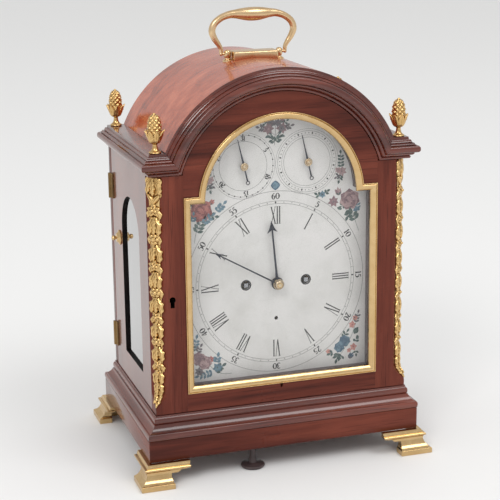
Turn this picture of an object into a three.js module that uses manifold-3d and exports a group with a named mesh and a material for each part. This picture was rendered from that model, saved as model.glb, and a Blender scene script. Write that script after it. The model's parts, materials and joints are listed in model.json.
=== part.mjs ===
// A table clock of the bracket type: a mahogany case with a barrel-vaulted top, arched doors
// front and back, cast brass feet, finials, corner mounts and carrying handle, and inside it a
// two-train spring movement with fusees, anchor escapement, pendulum and hour bell.
// Millimetres. +X is the right of the dial, +Y runs from front to back, +Z is up, and the
// origin is on the ground under the middle of the clock.
import * as THREE from 'three';
import { mergeVertices } from 'three/addons/utils/BufferGeometryUtils.js';
import Module from 'manifold-3d';

const wasm = await Module();
wasm.setup();

// ---------- driving dimensions ----------
const CASE_HALF = 135; // half the width of the case body
const FRONT = -91.65; // front face of the front door
const CASE_DEPTH = 181.6; // door front to back-door rear
const BACK = FRONT + CASE_DEPTH;
const FIT = 0.3; // gap between pieces that touch
const GROUND_TO_PLINTH = 25.2;
const PLINTH_TOP = 47.4;
const BODY_BOTTOM = 70.8;
const SHOULDER = 314.5; // underside of the cornice
const LEDGE = 336.5; // top of the cornice
const ARCH_Z = 283.07; // centre height of the door arches
const DOOR_ARCH = 107.3;
const ARCH_INNER = 107.9; // inside of the arch moulding
const ARCH_OUTER = 130.7;
const VAULT_R = 127;
const VAULT_Z = 286.9;
const VAULT_WALL = 8.5;
const DOOR_THICK = 16.5;
const DIAL_DEPTH = 21.3; // dial face behind the door front
const DIAL_Z = 190.96; // height of the hands' centre
const SUBDIAL_X = 33.8;
const SUBDIAL_Z = 314.3;
const PLATE_DEPTH = 36; // front of the movement's front plate
const BACKPLATE_DEPTH = 98;
const PLATE_THICK = 2.5;
const FUSEE_X = 32.3;
const THIRD_Z = DIAL_Z + 29.25;
const ESCAPE_Z = THIRD_Z + 23.4;
const PALLET_Z = ESCAPE_Z + 22;
const BARREL_X = 48;
const BARREL_Z = 138;
const HANDLE_DEPTH = 89; // handle, midway along the vault
const HANDLE_Z = 418; // handle pivots

const behind = (depth) => FRONT + depth;

// ---------- materials ----------
const finish = (color, roughness, metalness) => ({ color, roughness, metalness });
const MAHOGANY = finish(0x6b2f1e, 0.28, 0);
const VAULT_WOOD = finish(0xa5573a, 0.3, 0);
const INNER_WOOD = finish(0x4a2417, 0.6, 0);
const GILT = finish(0xc9a25a, 0.3, 1);
const BRASS = finish(0xc2a15c, 0.35, 1);
const STEEL = finish(0x8d9095, 0.35, 1);
const BLUED = finish(0x2b2f3a, 0.35, 0.8);
const DIAL_PAINT = finish(0xd9dad2, 0.55, 0);
const GLASS = finish(0xe6efec, 0.05, 0);
const BELL_METAL = finish(0xd3c7a6, 0.25, 1);

// ---------- geometry helpers ----------
const V2 = (x, y) => new THREE.Vector2(x, y);
const V3 = (x, y, z) => new THREE.Vector3(x, y, z);

// Position-only geometry with shared vertices, no slivers, and faces pointing out.
function clean(geometry) {
  const bare = geometry.clone();
  for (const name of ['normal', 'uv', 'uv1']) bare.deleteAttribute(name);
  const merged = mergeVertices(bare, 1e-3);
  const position = merged.getAttribute('position');
  const source = merged.index.array;
  const kept = [];
  let volume = 0;
  const corner = (i) => V3().fromBufferAttribute(position, i);
  for (let i = 0; i < source.length; i += 3) {
    const [a, b, c] = [source[i], source[i + 1], source[i + 2]];
    if (a === b || b === c || c === a) continue;
    kept.push(a, b, c);
    volume += corner(a).dot(corner(b).cross(corner(c)));
  }
  if (volume < 0) {
    for (let i = 0; i < kept.length; i += 3) [kept[i], kept[i + 1]] = [kept[i + 1], kept[i]];
  }
  merged.setIndex(kept);
  return merged;
}

function toSolid(geometry) {
  const shape = clean(geometry);
  return new wasm.Manifold(new wasm.Mesh({
    numProp: 3,
    vertProperties: new Float32Array(shape.getAttribute('position').array),
    triVerts: new Uint32Array(shape.index.array),
  }));
}

function fromSolid(solid) {
  const mesh = solid.getMesh();
  const geometry = new THREE.BufferGeometry();
  geometry.setAttribute('position', new THREE.BufferAttribute(mesh.vertProperties, 3));
  geometry.setIndex(new THREE.BufferAttribute(mesh.triVerts, 1));
  return geometry;
}

const join = (...pieces) => fromSolid(pieces.map(toSolid).reduce((all, next) => all.add(next)));
const cut = (piece, ...tools) => fromSolid(
  tools.map(toSolid).reduce((left, tool) => left.subtract(tool), toSolid(piece)));
const common = (piece, other) => fromSolid(toSolid(piece).intersect(toSolid(other)));

function geometryOf(points, faces) {
  const geometry = new THREE.BufferGeometry();
  const flat = points.flatMap((p) => [p.x, p.y, p.z]);
  geometry.setAttribute('position', new THREE.Float32BufferAttribute(flat, 3));
  geometry.setIndex(faces);
  return geometry;
}

// A closed skin over rings that all have the same number of points; flat ends.
function loft(rings, flatten) {
  const count = rings[0].length;
  const points = rings.flat();
  const faces = [];
  for (let r = 0; r + 1 < rings.length; r += 1) {
    for (let i = 0; i < count; i += 1) {
      const a = r * count + i;
      const b = r * count + ((i + 1) % count);
      faces.push(a, b, b + count, a, b + count, a + count);
    }
  }
  const outline = rings[0].map(flatten);
  const clockwise = THREE.ShapeUtils.isClockWise(outline);
  const last = (rings.length - 1) * count;
  for (const triangle of THREE.ShapeUtils.triangulateShape(outline, [])) {
    const [a, b, c] = clockwise ? triangle.reverse() : triangle;
    faces.push(c, b, a, last + a, last + b, last + c);
  }
  return geometryOf(points, faces);
}

// The same, but the last ring joins the first, as in a frame round an opening.
function hoop(rings) {
  const count = rings[0].length;
  const faces = [];
  rings.forEach((_, r) => {
    const below = r * count;
    const above = ((r + 1) % rings.length) * count;
    for (let i = 0; i < count; i += 1) {
      const j = (i + 1) % count;
      faces.push(below + i, below + j, above + j, below + i, above + j, above + i);
    }
  });
  return geometryOf(rings.flat(), faces);
}

// Extrusions of outlines drawn in the plan, front and side views.
function extrude(shape, depth, curveSegments = 24) {
  return new THREE.ExtrudeGeometry(shape, { depth, bevelEnabled: false, curveSegments });
}
const planPlate = (shape, zLow, zHigh) => extrude(shape, zHigh - zLow).translate(0, 0, zLow);
function frontPlate(shape, depthNear, depthFar, curveSegments) {
  const plate = extrude(shape, depthFar - depthNear, curveSegments).rotateX(Math.PI / 2);
  return plate.translate(0, behind(depthFar), 0);
}
function sidePlate(shape, xLow, xHigh) {
  const plate = extrude(shape, xHigh - xLow);
  plate.applyMatrix4(new THREE.Matrix4().set(0, 0, 1, xLow, 1, 0, 0, 0, 0, 1, 0, 0, 0, 0, 0, 1));
  return plate;
}
function block(xLow, xHigh, depthNear, depthFar, zLow, zHigh) {
  const box = new THREE.BoxGeometry(xHigh - xLow, depthFar - depthNear, zHigh - zLow);
  return box.translate((xLow + xHigh) / 2, behind((depthNear + depthFar) / 2), (zLow + zHigh) / 2);
}
// A round bar along Y between two depths, and one along Z.
function bar(x, z, radius, depthNear, depthFar, sides = 12) {
  const rod = new THREE.CylinderGeometry(radius, radius, depthFar - depthNear, sides);
  return rod.translate(x, behind((depthNear + depthFar) / 2), z);
}
function post(x, depth, radius, zLow, zHigh, sides = 12) {
  const rod = new THREE.CylinderGeometry(radius, radius, zHigh - zLow, sides).rotateX(Math.PI / 2);
  return rod.translate(x, behind(depth), (zLow + zHigh) / 2);
}
// Turned about a vertical axis, from [radius, z] points, and about an axis along Y.
function turned(profile, x, depth, sides) {
  const body = new THREE.LatheGeometry(profile.map(([r, z]) => V2(r, z)), sides);
  return body.rotateX(Math.PI / 2).translate(x, behind(depth), 0);
}
function turnedAlong(profile, x, z, sides) {
  const body = new THREE.LatheGeometry(profile.map(([r, depth]) => V2(r, behind(depth))), sides);
  return body.translate(x, 0, z);
}

function polygon(points) {
  return new THREE.Shape(points.map(([x, y]) => V2(x, y)));
}
const rectangle = (xLow, xHigh, yLow, yHigh) => polygon(
  [[xLow, yLow], [xHigh, yLow], [xHigh, yHigh], [xLow, yHigh]]);

// A rectangle up to the shoulders with a round arch standing on them.
function breakArch(halfWidth, bottom, shoulder, arch) {
  const shape = new THREE.Shape();
  const start = Math.asin((shoulder - ARCH_Z) / arch);
  shape.moveTo(-halfWidth, bottom);
  shape.lineTo(halfWidth, bottom);
  shape.lineTo(halfWidth, shoulder);
  shape.absarc(0, ARCH_Z, arch, start, Math.PI - start, false);
  shape.lineTo(-halfWidth, shoulder);
  shape.closePath();
  return shape;
}
// Straight sides and a half-round head, for the side lights.
function roundHeaded(low, high, bottom, top) {
  const shape = new THREE.Shape();
  const radius = (high - low) / 2;
  shape.moveTo(low, bottom);
  shape.lineTo(high, bottom);
  shape.absarc((low + high) / 2, top - radius, radius, 0, Math.PI, false);
  shape.closePath();
  return shape;
}
// Part of a ring above a level line, its two arcs about centres of their own.
function archBand(innerR, innerZ, outerR, outerZ, level) {
  const shape = new THREE.Shape();
  const outerStart = Math.asin((level - outerZ) / outerR);
  const innerStart = Math.asin((level - innerZ) / innerR);
  shape.absarc(0, outerZ, outerR, outerStart, Math.PI - outerStart, false);
  shape.absarc(0, innerZ, innerR, Math.PI - innerStart, innerStart, true);
  shape.closePath();
  return shape;
}
function withHole(shape, hole) {
  shape.holes.push(hole);
  return shape;
}

// A rectangular board whose edge is a moulding: [offset outwards, z] points, bottom to top.
function mouldedBoard(profile) {
  const rings = profile.map(([offset, z]) => {
    const x = CASE_HALF + offset;
    const near = FRONT - offset;
    const far = BACK + offset;
    return [V3(-x, near, z), V3(x, near, z), V3(x, far, z), V3(-x, far, z)];
  });
  return loft(rings, (p) => V2(p.x, p.y));
}

// ---------- wheels ----------
// Pointed teeth, slim enough to pass each other freely at every phase.
const polar = (radius, angle) => [radius * Math.cos(angle), radius * Math.sin(angle)];
const ADDENDUM = 0.5;
const DEDENDUM = 0.95;
function toothedShape(teeth, module, phase) {
  const pitch = (teeth * module) / 2;
  const points = [];
  for (let i = 0; i < teeth; i += 1) {
    const tip = phase + (i * 2 * Math.PI) / teeth;
    const root = tip + Math.PI / teeth;
    points.push(polar(pitch + ADDENDUM * module, tip));
    points.push(polar(pitch - DEDENDUM * module, root));
  }
  return polygon(points);
}
function toothedWheel(x, z, teeth, module, phase, depthNear, depthFar) {
  return frontPlate(toothedShape(teeth, module, phase), depthNear, depthFar).translate(x, 0, z);
}
// The phase that sets wheel B in mesh with wheel A, seen from A along the line of centres.
const meshPhase = (phaseA, teethA, lineAngle, teethB) => (
  lineAngle + Math.PI + Math.PI / teethB - (phaseA - lineAngle) * (teethA / teethB));

// An arbor between the plates, with a thin pivot in each.
const PIVOT_R = 1.1;
const PIVOT_HOLE_R = 1.6;
function arbor(x, z, radius) {
  const inner = [PLATE_DEPTH + PLATE_THICK + 0.5, BACKPLATE_DEPTH - 0.5];
  const shaft = bar(x, z, radius, inner[0], inner[1], 8);
  return join(shaft, bar(x, z, PIVOT_R, PLATE_DEPTH + 0.6, inner[0] + 0.5, 6),
    bar(x, z, PIVOT_R, inner[1] - 0.5, BACKPLATE_DEPTH + 1.9, 6));
}

const GREAT = { teeth: 72, module: 64.6 / 78 };
const PINION = 6;
const CENTRE = { teeth: 72, module: 0.75 };
const THIRD = { teeth: 66, module: 0.65 };
const ESCAPE = { teeth: 33, tip: 15, root: 12, lean: 0.14 };
const STRIKE_GREAT = { teeth: 64, module: 0.828 };
const PIN_WHEEL = { teeth: 40, module: 0.9, pins: 8, pinCircle: 13.5 };
const CANNON = { teeth: 30, module: 0.6 };
const HOUR = { teeth: 72, module: 36 / 78 };
const MINUTE_Z = DIAL_Z - 18;
const STRIKE_LINE = (105 * Math.PI) / 180;
const STRIKE_SPAN = ((STRIKE_GREAT.teeth + PINION) / 2) * STRIKE_GREAT.module;
const [PIN_RIGHT, PIN_UP] = polar(STRIKE_SPAN, STRIKE_LINE);
const PIN_X = -FUSEE_X + PIN_RIGHT;
const PIN_Z = DIAL_Z + PIN_UP;
const HAMMER_X = -60;
const HAMMER_Z = 250;

// ---------- the model ----------
const clock = new THREE.Group();
function add(name, geometry, look) {
  const material = new THREE.MeshStandardMaterial({
    color: look.color, roughness: look.roughness, metalness: look.metalness,
  });
  const mesh = new THREE.Mesh(clean(geometry), material);
  mesh.name = name;
  clock.add(mesh);
}
const SIDES = [['left', -1], ['right', 1]];
const ENDS = [['front', -1], ['rear', 1]];

// Plinth: four boards round an open hollow.
const PLINTH_PROUD = 10.6;
function plinth() {
  const x = CASE_HALF + PLINTH_PROUD;
  const outer = rectangle(-x, x, FRONT - PLINTH_PROUD, BACK + PLINTH_PROUD);
  const wall = 16;
  outer.holes.push(rectangle(-x + wall, x - wall, FRONT - PLINTH_PROUD + wall, BACK + PLINTH_PROUD - wall));
  return planPlate(outer, GROUND_TO_PLINTH, PLINTH_TOP);
}
add('plinth_frame', plinth(), MAHOGANY);

// The base board: a round nose over the plinth, a long hollow, then a small bead under the body.
const BASE_PROFILE = [
  [9.7, PLINTH_TOP + FIT], [10.8, 48.4], [11.1, 50.4], [10.9, 52.8], [10.0, 54.4],
  [9.0, 54.6], [7.0, 55.8], [5.0, 57.7], [3.7, 59.9], [3.0, 61.6],
  [2.0, 61.9], [2.7, 63.4], [2.8, 65.4], [2.3, 67.4], [1.5, 68.6], [0.9, BODY_BOTTOM - FIT],
];
add('base_moulding', mouldedBoard(BASE_PROFILE), MAHOGANY);

// Cast bracket foot, L-shaped in plan: inset of its outer faces and length of its arms by height.
const FOOT_X = 157.7;
const FOOT_Y = 115.85;
const FOOT_WALL = 14;
const FOOT_LEVELS = [
  [0, 0, 34.6], [5.4, 0, 34.6], [6.4, 0.6, 34.2], [7.4, 2.4, 33.6], [9, 4.4, 33.0],
  [11.5, 6.2, 32.6], [14, 7.2, 33.0], [15.4, 7.4, 34.4], [15.8, 7.4, 41.5], [17.4, 7.2, 47.0],
  [18.4, 6.9, 50.0], [18.8, 5.5, 51.2], [21, 5.4, 52.2], [21.4, 8.2, 52.2],
  [GROUND_TO_PLINTH - FIT, 9.0, 52.8],
];
function foot(sideX, sideY) {
  const rings = FOOT_LEVELS.map(([z, inset, length]) => {
    const plan = [[inset, inset], [length, inset], [length, FOOT_WALL], [FOOT_WALL, FOOT_WALL],
      [FOOT_WALL, length], [inset, length]];
    return plan.map(([u, v]) => V3(sideX * (FOOT_X - u), sideY * (FOOT_Y - v), z));
  });
  return loft(rings, (p) => V2(p.x, p.y));
}
for (const [end, sideY] of ENDS) {
  for (const [side, sideX] of SIDES) add(`foot_${end}_${side}`, foot(sideX, sideY), GILT);
}

// A turned wooden button under the front rail of the plinth.
const BUTTON = [[0, 0.4], [11, 0.4], [12.4, 1.4], [12.4, 3], [11, 4], [4.5, 5], [3.2, 8],
  [3.2, 20], [5.5, 22], [5.5, GROUND_TO_PLINTH - FIT], [0, GROUND_TO_PLINTH - FIT]];
add('steady_button', turned(BUTTON, -32.5, 5, 16), VAULT_WOOD);

// Sides with a round-headed light, a bearer for the seat board, and mortises for the two catches.
const SIDE_THICK = 14;
const SIDE_NEAR = 17.3;
const SIDE_FAR = 168;
const LIGHT = { near: 51, far: 127, bottom: 100, top: 276.5 };
const SEAT = { near: 32, far: 99, bottom: 105.3, top: 115 };
const LOCK_Z = 188.5;
function sidePanel(side) {
  const outline = rectangle(behind(SIDE_NEAR), behind(SIDE_FAR), BODY_BOTTOM + FIT, SHOULDER - FIT);
  outline.holes.push(roundHeaded(behind(LIGHT.near), behind(LIGHT.far), LIGHT.bottom, LIGHT.top));
  const outer = side * CASE_HALF;
  const inner = side * (CASE_HALF - SIDE_THICK);
  const panel = sidePlate(outline, Math.min(outer, inner), Math.max(outer, inner));
  const bearerEnd = side * (CASE_HALF - SIDE_THICK - 13);
  const bearer = block(Math.min(bearerEnd, inner + side), Math.max(bearerEnd, inner + side),
    SEAT.near, SEAT.far, 88, SEAT.bottom - FIT);
  const mortise = (near, far, z, half) => block(Math.min(inner - side, inner + 5.5 * side),
    Math.max(inner - side, inner + 5.5 * side), near, far, z - half, z + half);
  const pocket = side < 0 ? mortise(17.7, 23, LOCK_Z, 6) : mortise(157, 165.5, LOCK_Z, 9);
  return join(cut(panel, pocket), bearer);
}
for (const [side, sign] of SIDES) {
  add(`side_panel_${side}`, sidePanel(sign), MAHOGANY);
  const pane = roundHeaded(behind(LIGHT.near) + FIT, behind(LIGHT.far) - FIT, LIGHT.bottom + FIT,
    LIGHT.top - FIT);
  const faces = [sign * (CASE_HALF - 2.8), sign * (CASE_HALF - 4.8)];
  add(`side_glass_${side}`, sidePlate(pane, Math.min(...faces), Math.max(...faces)), GLASS);
}

// Cornice profile, measured from the body's face and the shoulder.
const CORNICE = [[0.2, 0], [1.8, 1.5], [2.4, 3.6], [4.6, 4.8], [5.2, 6.1], [8.9, 7.6], [9.8, 9.7],
  [9.8, 12.0], [8.3, 13.9], [6.1, 14.6], [4.6, 16.6], [2.4, 18.0], [2.4, 19.2], [0.3, 20.2],
  [0.3, LEDGE - SHOULDER]];
// The mitre between the level cornice and the arch, as two points of a straight line.
const MITRE = [[103.2, SHOULDER], [118.6, 337.3]];
const FRONT_ZONE = 17.2; // depth of the arch moulding behind the door front
function mitrePrism(side) {
  const [[x0, z0], [x1, z1]] = MITRE;
  const slope = (x1 - x0) / (z1 - z0);
  const low = z0 - 5;
  const high = z1 + 5;
  const edge = (z, gap) => side * (x0 + (z - z0) * slope + gap);
  return polygon([[edge(low, FIT), low], [side * 160, low], [side * 160, high], [edge(high, FIT), high]]);
}
function cornice(side) {
  const board = mouldedBoard(CORNICE.map(([offset, rise]) => [offset, SHOULDER + rise]));
  const frontPart = common(board, frontPlate(mitrePrism(side), -14, FRONT_ZONE));
  const rearHalf = block(Math.min(side * 20, side * 160), Math.max(side * 20, side * 160),
    FRONT_ZONE - 0.2, CASE_DEPTH + 14, SHOULDER - 1, LEDGE + 1);
  const vaultSpace = bar(0, VAULT_Z, VAULT_R + FIT, FRONT_ZONE - 1, CASE_DEPTH + 15, 160);
  const rearPart = cut(common(board, rearHalf), vaultSpace);
  const clearFront = bar(0, ARCH_Z, ARCH_OUTER + FIT, -15, FRONT_ZONE + 0.3, 160);
  return join(frontPart, cut(rearPart, clearFront));
}
for (const [side, sign] of SIDES) add(`cornice_${side}`, cornice(sign), MAHOGANY);

// The arch moulding: the same profile carried round the arch, with its backing.
function archMoulding() {
  const scale = (ARCH_OUTER - ARCH_INNER) / (LEDGE - SHOULDER);
  const section = CORNICE.map(([offset, rise]) => [ARCH_INNER + rise * scale, -offset]);
  section.push([ARCH_OUTER, FRONT_ZONE], [ARCH_INNER, FRONT_ZONE]);
  const steps = 24;
  const first = 0.2;
  const rings = [];
  for (let i = 0; i <= steps; i += 1) {
    const angle = first + ((Math.PI - 2 * first) * i) / steps;
    rings.push(section.map(([r, depth]) => (
      V3(r * Math.cos(angle), behind(depth), ARCH_Z + r * Math.sin(angle)))));
  }
  const ring = loft(rings, (p) => V2(p.x / Math.cos(first), p.y));
  const [[x0, z0], [x1, z1]] = MITRE;
  const slope = (x1 - x0) / (z1 - z0);
  const edge = (z) => x0 + (z - z0) * slope;
  const low = SHOULDER + 0.02;
  const high = 356;
  const keep = polygon([[-edge(low), low], [edge(low), low], [edge(high), high], [160, high],
    [160, 430], [-160, 430], [-160, high], [-edge(high), high]]);
  return common(ring, frontPlate(keep, -14, FRONT_ZONE + 1));
}
add('front_arch_moulding', archMoulding(), MAHOGANY);

// The vault and the board that closes it behind.
const VAULT_NEAR = FRONT_ZONE + FIT;
const BACK_DOOR_NEAR = 168.5;
const BACK_DOOR_ARCH = 106.6;
const BACK_BOARD_ARCH = 110;
add('vault_shell', frontPlate(
  archBand(VAULT_R - VAULT_WALL, VAULT_Z, VAULT_R, VAULT_Z, SHOULDER + FIT),
  VAULT_NEAR, CASE_DEPTH, 26), VAULT_WOOD);
add('rear_arch_board', frontPlate(
  archBand(BACK_BOARD_ARCH, ARCH_Z, VAULT_R - VAULT_WALL - FIT, VAULT_Z, SHOULDER + FIT),
  BACK_DOOR_NEAR, CASE_DEPTH, 20), MAHOGANY);

// Pineapple finials on the four corners of the cornice.
const FINIAL = [[0, 0], [6.2, 0], [6.2, 1.4], [3.6, 3.4], [2.4, 8.6], [8.2, 13.6], [9.9, 21.4],
  [7.8, 23], [6.2, 31], [3.4, 35.4], [1.4, 37], [0, 39]];
for (const [end, sideY] of ENDS) {
  for (const [side, sideX] of SIDES) {
    const profile = FINIAL.map(([r, z]) => [r, z + LEDGE + FIT]);
    const depth = CASE_DEPTH / 2 + sideY * 84;
    add(`finial_${end}_${side}`, turned(profile, sideX * 126.9, depth, 12), GILT);
  }
}

// Carrying handle: a swelled bail between two round-headed posts, over a brass saddle.
const POST_X = 27.8;
const POST_HEAD = 3.8;
const EYE_X = 34.3; // the bail's eyes, just outside the posts
const vaultTool = bar(0, VAULT_Z, VAULT_R + FIT, -10, CASE_DEPTH + 20, 160);
// Half of the saddle's section above the vault: distance from its middle, and height.
const SADDLE_SECTION = [[10.5, 405], [10.5, 418.6], [9.9, 420], [8.5, 420.6]];
function saddle() {
  const rear = SADDLE_SECTION.map(([half, z]) => V2(behind(HANDLE_DEPTH + half), z));
  const front = SADDLE_SECTION.map(([half, z]) => V2(behind(HANDLE_DEPTH - half), z)).reverse();
  const width = POST_X - POST_HEAD - 0.4;
  return cut(sidePlate(new THREE.Shape([...rear, ...front]), -width, width), vaultTool);
}
add('handle_saddle', saddle(), BRASS);
const POST = [[0, 404], [5, 404], [5, 411.4], [3.2, 412.4], [2.8, 413.6], [3.5, 415.6],
  [POST_HEAD, 418], [3.4, 420.4], [2, 421.8], [0, 422.3]];
function handlePost(side) {
  const bore = new THREE.CylinderGeometry(1.8, 1.8, 9, 12).rotateZ(Math.PI / 2);
  bore.translate(side * (POST_X + 3.2), behind(HANDLE_DEPTH), HANDLE_Z);
  return cut(turned(POST, side * POST_X, HANDLE_DEPTH, 12), vaultTool, bore);
}
for (const [side, sign] of SIDES) add(`handle_post_${side}`, handlePost(sign), BRASS);

// Half of the bail from the crown down: [x, z, radius].
const BAIL = [[0, 457.2, 7.0], [6, 457.3, 6.7], [12.6, 457.6, 5.7], [19, 457.7, 4.5], [25.5, 457.2, 3.8],
  [34.2, 454.2, 3.5], [41.2, 448.5, 3.5], [43.7, 441.1, 3.5], [41, 433.5, 3.15], [36.8, 427.3, 2.6],
  [34.6, 423, 2.2], [EYE_X, 419.2, 2.0]];
function bail() {
  const right = BAIL.map(([x, z, r]) => ({ at: V2(x, z), r }));
  const left = right.slice(1).reverse().map(({ at, r }) => ({ at: V2(-at.x, at.y), r }));
  const path = [...left, ...right];
  const sides = 8;
  const rings = path.map(({ at, r }, i) => {
    const before = path[Math.max(i - 1, 0)].at;
    const after = path[Math.min(i + 1, path.length - 1)].at;
    const along = after.clone().sub(before).normalize();
    const ring = [];
    for (let k = 0; k < sides; k += 1) {
      const angle = (2 * Math.PI * k) / sides;
      const out = r * Math.cos(angle);
      ring.push(V3(at.x - along.y * out, behind(HANDLE_DEPTH) + r * Math.sin(angle), at.y + along.x * out));
    }
    return ring;
  });
  const hoop = loft(rings, (p) => V2(p.y, p.x - p.z));
  const pins = SIDES.map(([, sign]) => {
    const eye = new THREE.SphereGeometry(2.1, 8, 6).translate(sign * EYE_X, behind(HANDLE_DEPTH), HANDLE_Z);
    const pin = new THREE.CylinderGeometry(1.4, 1.4, 7, 8).rotateZ(Math.PI / 2);
    return join(eye, pin.translate(sign * (EYE_X - 3.5), behind(HANDLE_DEPTH), HANDLE_Z));
  });
  return join(hoop, ...pins);
}
add('carrying_handle', bail(), BRASS);

// Pull-repeat: a turned boss on the left side and the knob that draws out of it.
const REPEAT_DEPTH = 139;
const REPEAT_Z = 222.5;
function sideTurned(profile, sides) {
  const body = new THREE.LatheGeometry(profile.map(([r, x]) => V2(r, x)), sides).rotateZ(Math.PI / 2);
  return body.translate(-CASE_HALF, behind(REPEAT_DEPTH), REPEAT_Z);
}
add('repeat_boss', sideTurned([[2.2, FIT], [8, FIT], [8, 1.4], [6, 2.2], [4.6, 4], [3.6, 4.2], [2.2, 4.2],
  [2.2, FIT]], 16), BRASS);
add('repeat_knob', sideTurned([[0, 0.6], [1.3, 0.6], [1.3, 4.6], [1.9, 4.9], [2.6, 6], [2.7, 7], [2.2, 8.3],
  [1.2, 9], [0, 9.2]], 14), STEEL);

// Front door: frame with chamfered front corners, bezel, glass, lock and corner mounts.
const DOOR_OPENING = { half: 96.5, bottom: 95.1, shoulder: 286.4, arch: 81.7 };
const BEZEL = { half: 101.9, bottom: 89.7, shoulder: 291.8, arch: 87.1 };
const KEY_X = -115.2;
// The door's front corners are chamfered; the chamfer runs out in a curve near the foot.
const CHAMFER = { run: 13, depth: DOOR_THICK, stopLow: 75, stopHigh: 93 };
function chamferShare(z) {
  const share = THREE.MathUtils.clamp((z - CHAMFER.stopLow) / (CHAMFER.stopHigh - CHAMFER.stopLow), 0, 1);
  return share * share * (3 - 2 * share);
}
function chamferTool(side) {
  const reach = 15; // how far the tool stands clear of the door
  const levels = [0.06, 0.2, 0.4, 0.6, 0.8, 1].map(
    (t) => CHAMFER.stopLow + (CHAMFER.stopHigh - CHAMFER.stopLow) * t);
  const rings = [...levels, SHOULDER + 5].map((z) => {
    const share = chamferShare(z);
    const x = CASE_HALF - CHAMFER.run * share;
    const y = behind(CHAMFER.depth * share);
    const clear = CASE_HALF + reach;
    const plan = [[x, FRONT], [CASE_HALF + 0.1, y], [clear, y], [clear, FRONT - reach], [x, FRONT - reach]];
    return plan.map(([across, along]) => V3(side * across, along, z));
  });
  return loft(rings, (p) => V2(p.x, p.y));
}
function keyway(near, far) {
  const slot = block(KEY_X - 2.1, KEY_X + 2.1, near, far, LOCK_Z - 7, LOCK_Z);
  return join(bar(KEY_X, LOCK_Z + 1, 3.3, near, far, 12), slot);
}
// A small notch for a fingernail, under the bezel.
const DOOR_NICK = [[-3.4, 87.6], [-1.9, 84.2], [-0.4, 87.6]];
function doorFrame() {
  const outline = breakArch(CASE_HALF, BODY_BOTTOM + FIT, SHOULDER - 0.5, DOOR_ARCH);
  const frame = frontPlate(withHole(outline,
    breakArch(DOOR_OPENING.half, DOOR_OPENING.bottom, DOOR_OPENING.shoulder, DOOR_OPENING.arch)),
  0, DOOR_THICK, 20);
  const nick = frontPlate(polygon(DOOR_NICK), -1, 4);
  const chamfers = SIDES.map(([, sign]) => chamferTool(sign));
  return cut(frame, ...chamfers, nick, keyway(-2, 20));
}
add('door_frame', doorFrame(), MAHOGANY);
// Its section: how far in from its outer edge, and the depth.
const BEZEL_SECTION = [[0, -FIT], [0, -1.6], [0.8, -1.8], [1.3, -1.4], [2.2, -2.2], [3.6, -2.1], [5.2, -1.3],
  [6.6, -0.3], [7.4, 0.6], [7.4, 2.8], [5.9, 2.8], [5.6, 0.5], [5.4, -FIT]];
function bezel() {
  const rings = BEZEL_SECTION.map(([inset, depth]) => {
    const outline = breakArch(BEZEL.half - inset, BEZEL.bottom + inset, BEZEL.shoulder - inset,
      BEZEL.arch - inset);
    return outline.getPoints(18).slice(0, -1).map((p) => V3(p.x, behind(depth), p.y));
  });
  return hoop(rings);
}
add('door_bezel', bezel(), GILT);
const paneSize = (gap) => breakArch(DOOR_OPENING.half - gap, DOOR_OPENING.bottom + gap,
  DOOR_OPENING.shoulder - gap, DOOR_OPENING.arch - gap);
add('door_glass', frontPlate(paneSize(FIT), 3.1, 5.1, 20), GLASS);

// Gilt mounts down the chamfers, drawn in the plane of the chamfer and thicker in the middle.
const MOUNT_TOP = 313.2;
// Height, half width and thickness; they follow the run-out of the chamfer.
const MOUNT_LEVELS = [[78.6, 0.6, 1.6], [82.2, 3.0, 2.0], [85.8, 5.0, 3.0], [89.4, 6.4, 3.8],
  [93, 7.2, 4.2], [150, 7.6, 4.6], [230, 8.4, 4.6], [290, 8.8, 4.6], [294, 9.8, 4.2],
  [306, 9.8, 3.4], [MOUNT_TOP, 8.8, 2.4]];
function cornerMount(side) {
  const chamferFace = Math.hypot(CHAMFER.run, CHAMFER.depth);
  const across = V2(side * CHAMFER.run, CHAMFER.depth).divideScalar(chamferFace);
  const normal = V2(side * CHAMFER.depth, -CHAMFER.run).divideScalar(chamferFace);
  const middle = V2(side * (CASE_HALF - CHAMFER.run / 2), behind(CHAMFER.depth / 2));
  const toCorner = V2(side * CASE_HALF, FRONT).sub(middle);
  const rings = MOUNT_LEVELS.map(([z, half, thick]) => {
    const edge = Math.min(thick, 1.6);
    const crest = half * 0.5;
    const section = [[-half, FIT], [half, FIT], [half, edge], [crest, thick], [-crest, thick],
      [-half, edge]];
    const root = middle.clone().addScaledVector(toCorner, 1 - chamferShare(z));
    return section.map(([u, w]) => {
      const spot = root.clone().addScaledVector(across, u).addScaledVector(normal, w);
      return V3(spot.x, spot.y, z);
    });
  });
  return loft(rings, (p) => V2(p.x, p.y));
}
for (const [side, sign] of SIDES) add(`corner_mount_${side}`, cornerMount(sign), GILT);

const LOCK = { left: -119.5, right: -104, near: DOOR_THICK + FIT, far: 24.6 };
function doorLock() {
  const box = block(LOCK.left, LOCK.right, LOCK.near, LOCK.far, LOCK_Z - 12, LOCK_Z + 12);
  const boltSlot = block(LOCK.left - 1, LOCK.left + 9, 18, 22, LOCK_Z - 4.4, LOCK_Z + 4.4);
  return cut(box, boltSlot, keyway(15, 17.9));
}
add('door_lock', doorLock(), BRASS);
add('lock_bolt', block(LOCK.left + 0.2, LOCK.left + 8, 18.4, 21.6, LOCK_Z - 4, LOCK_Z + 4), STEEL);

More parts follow.
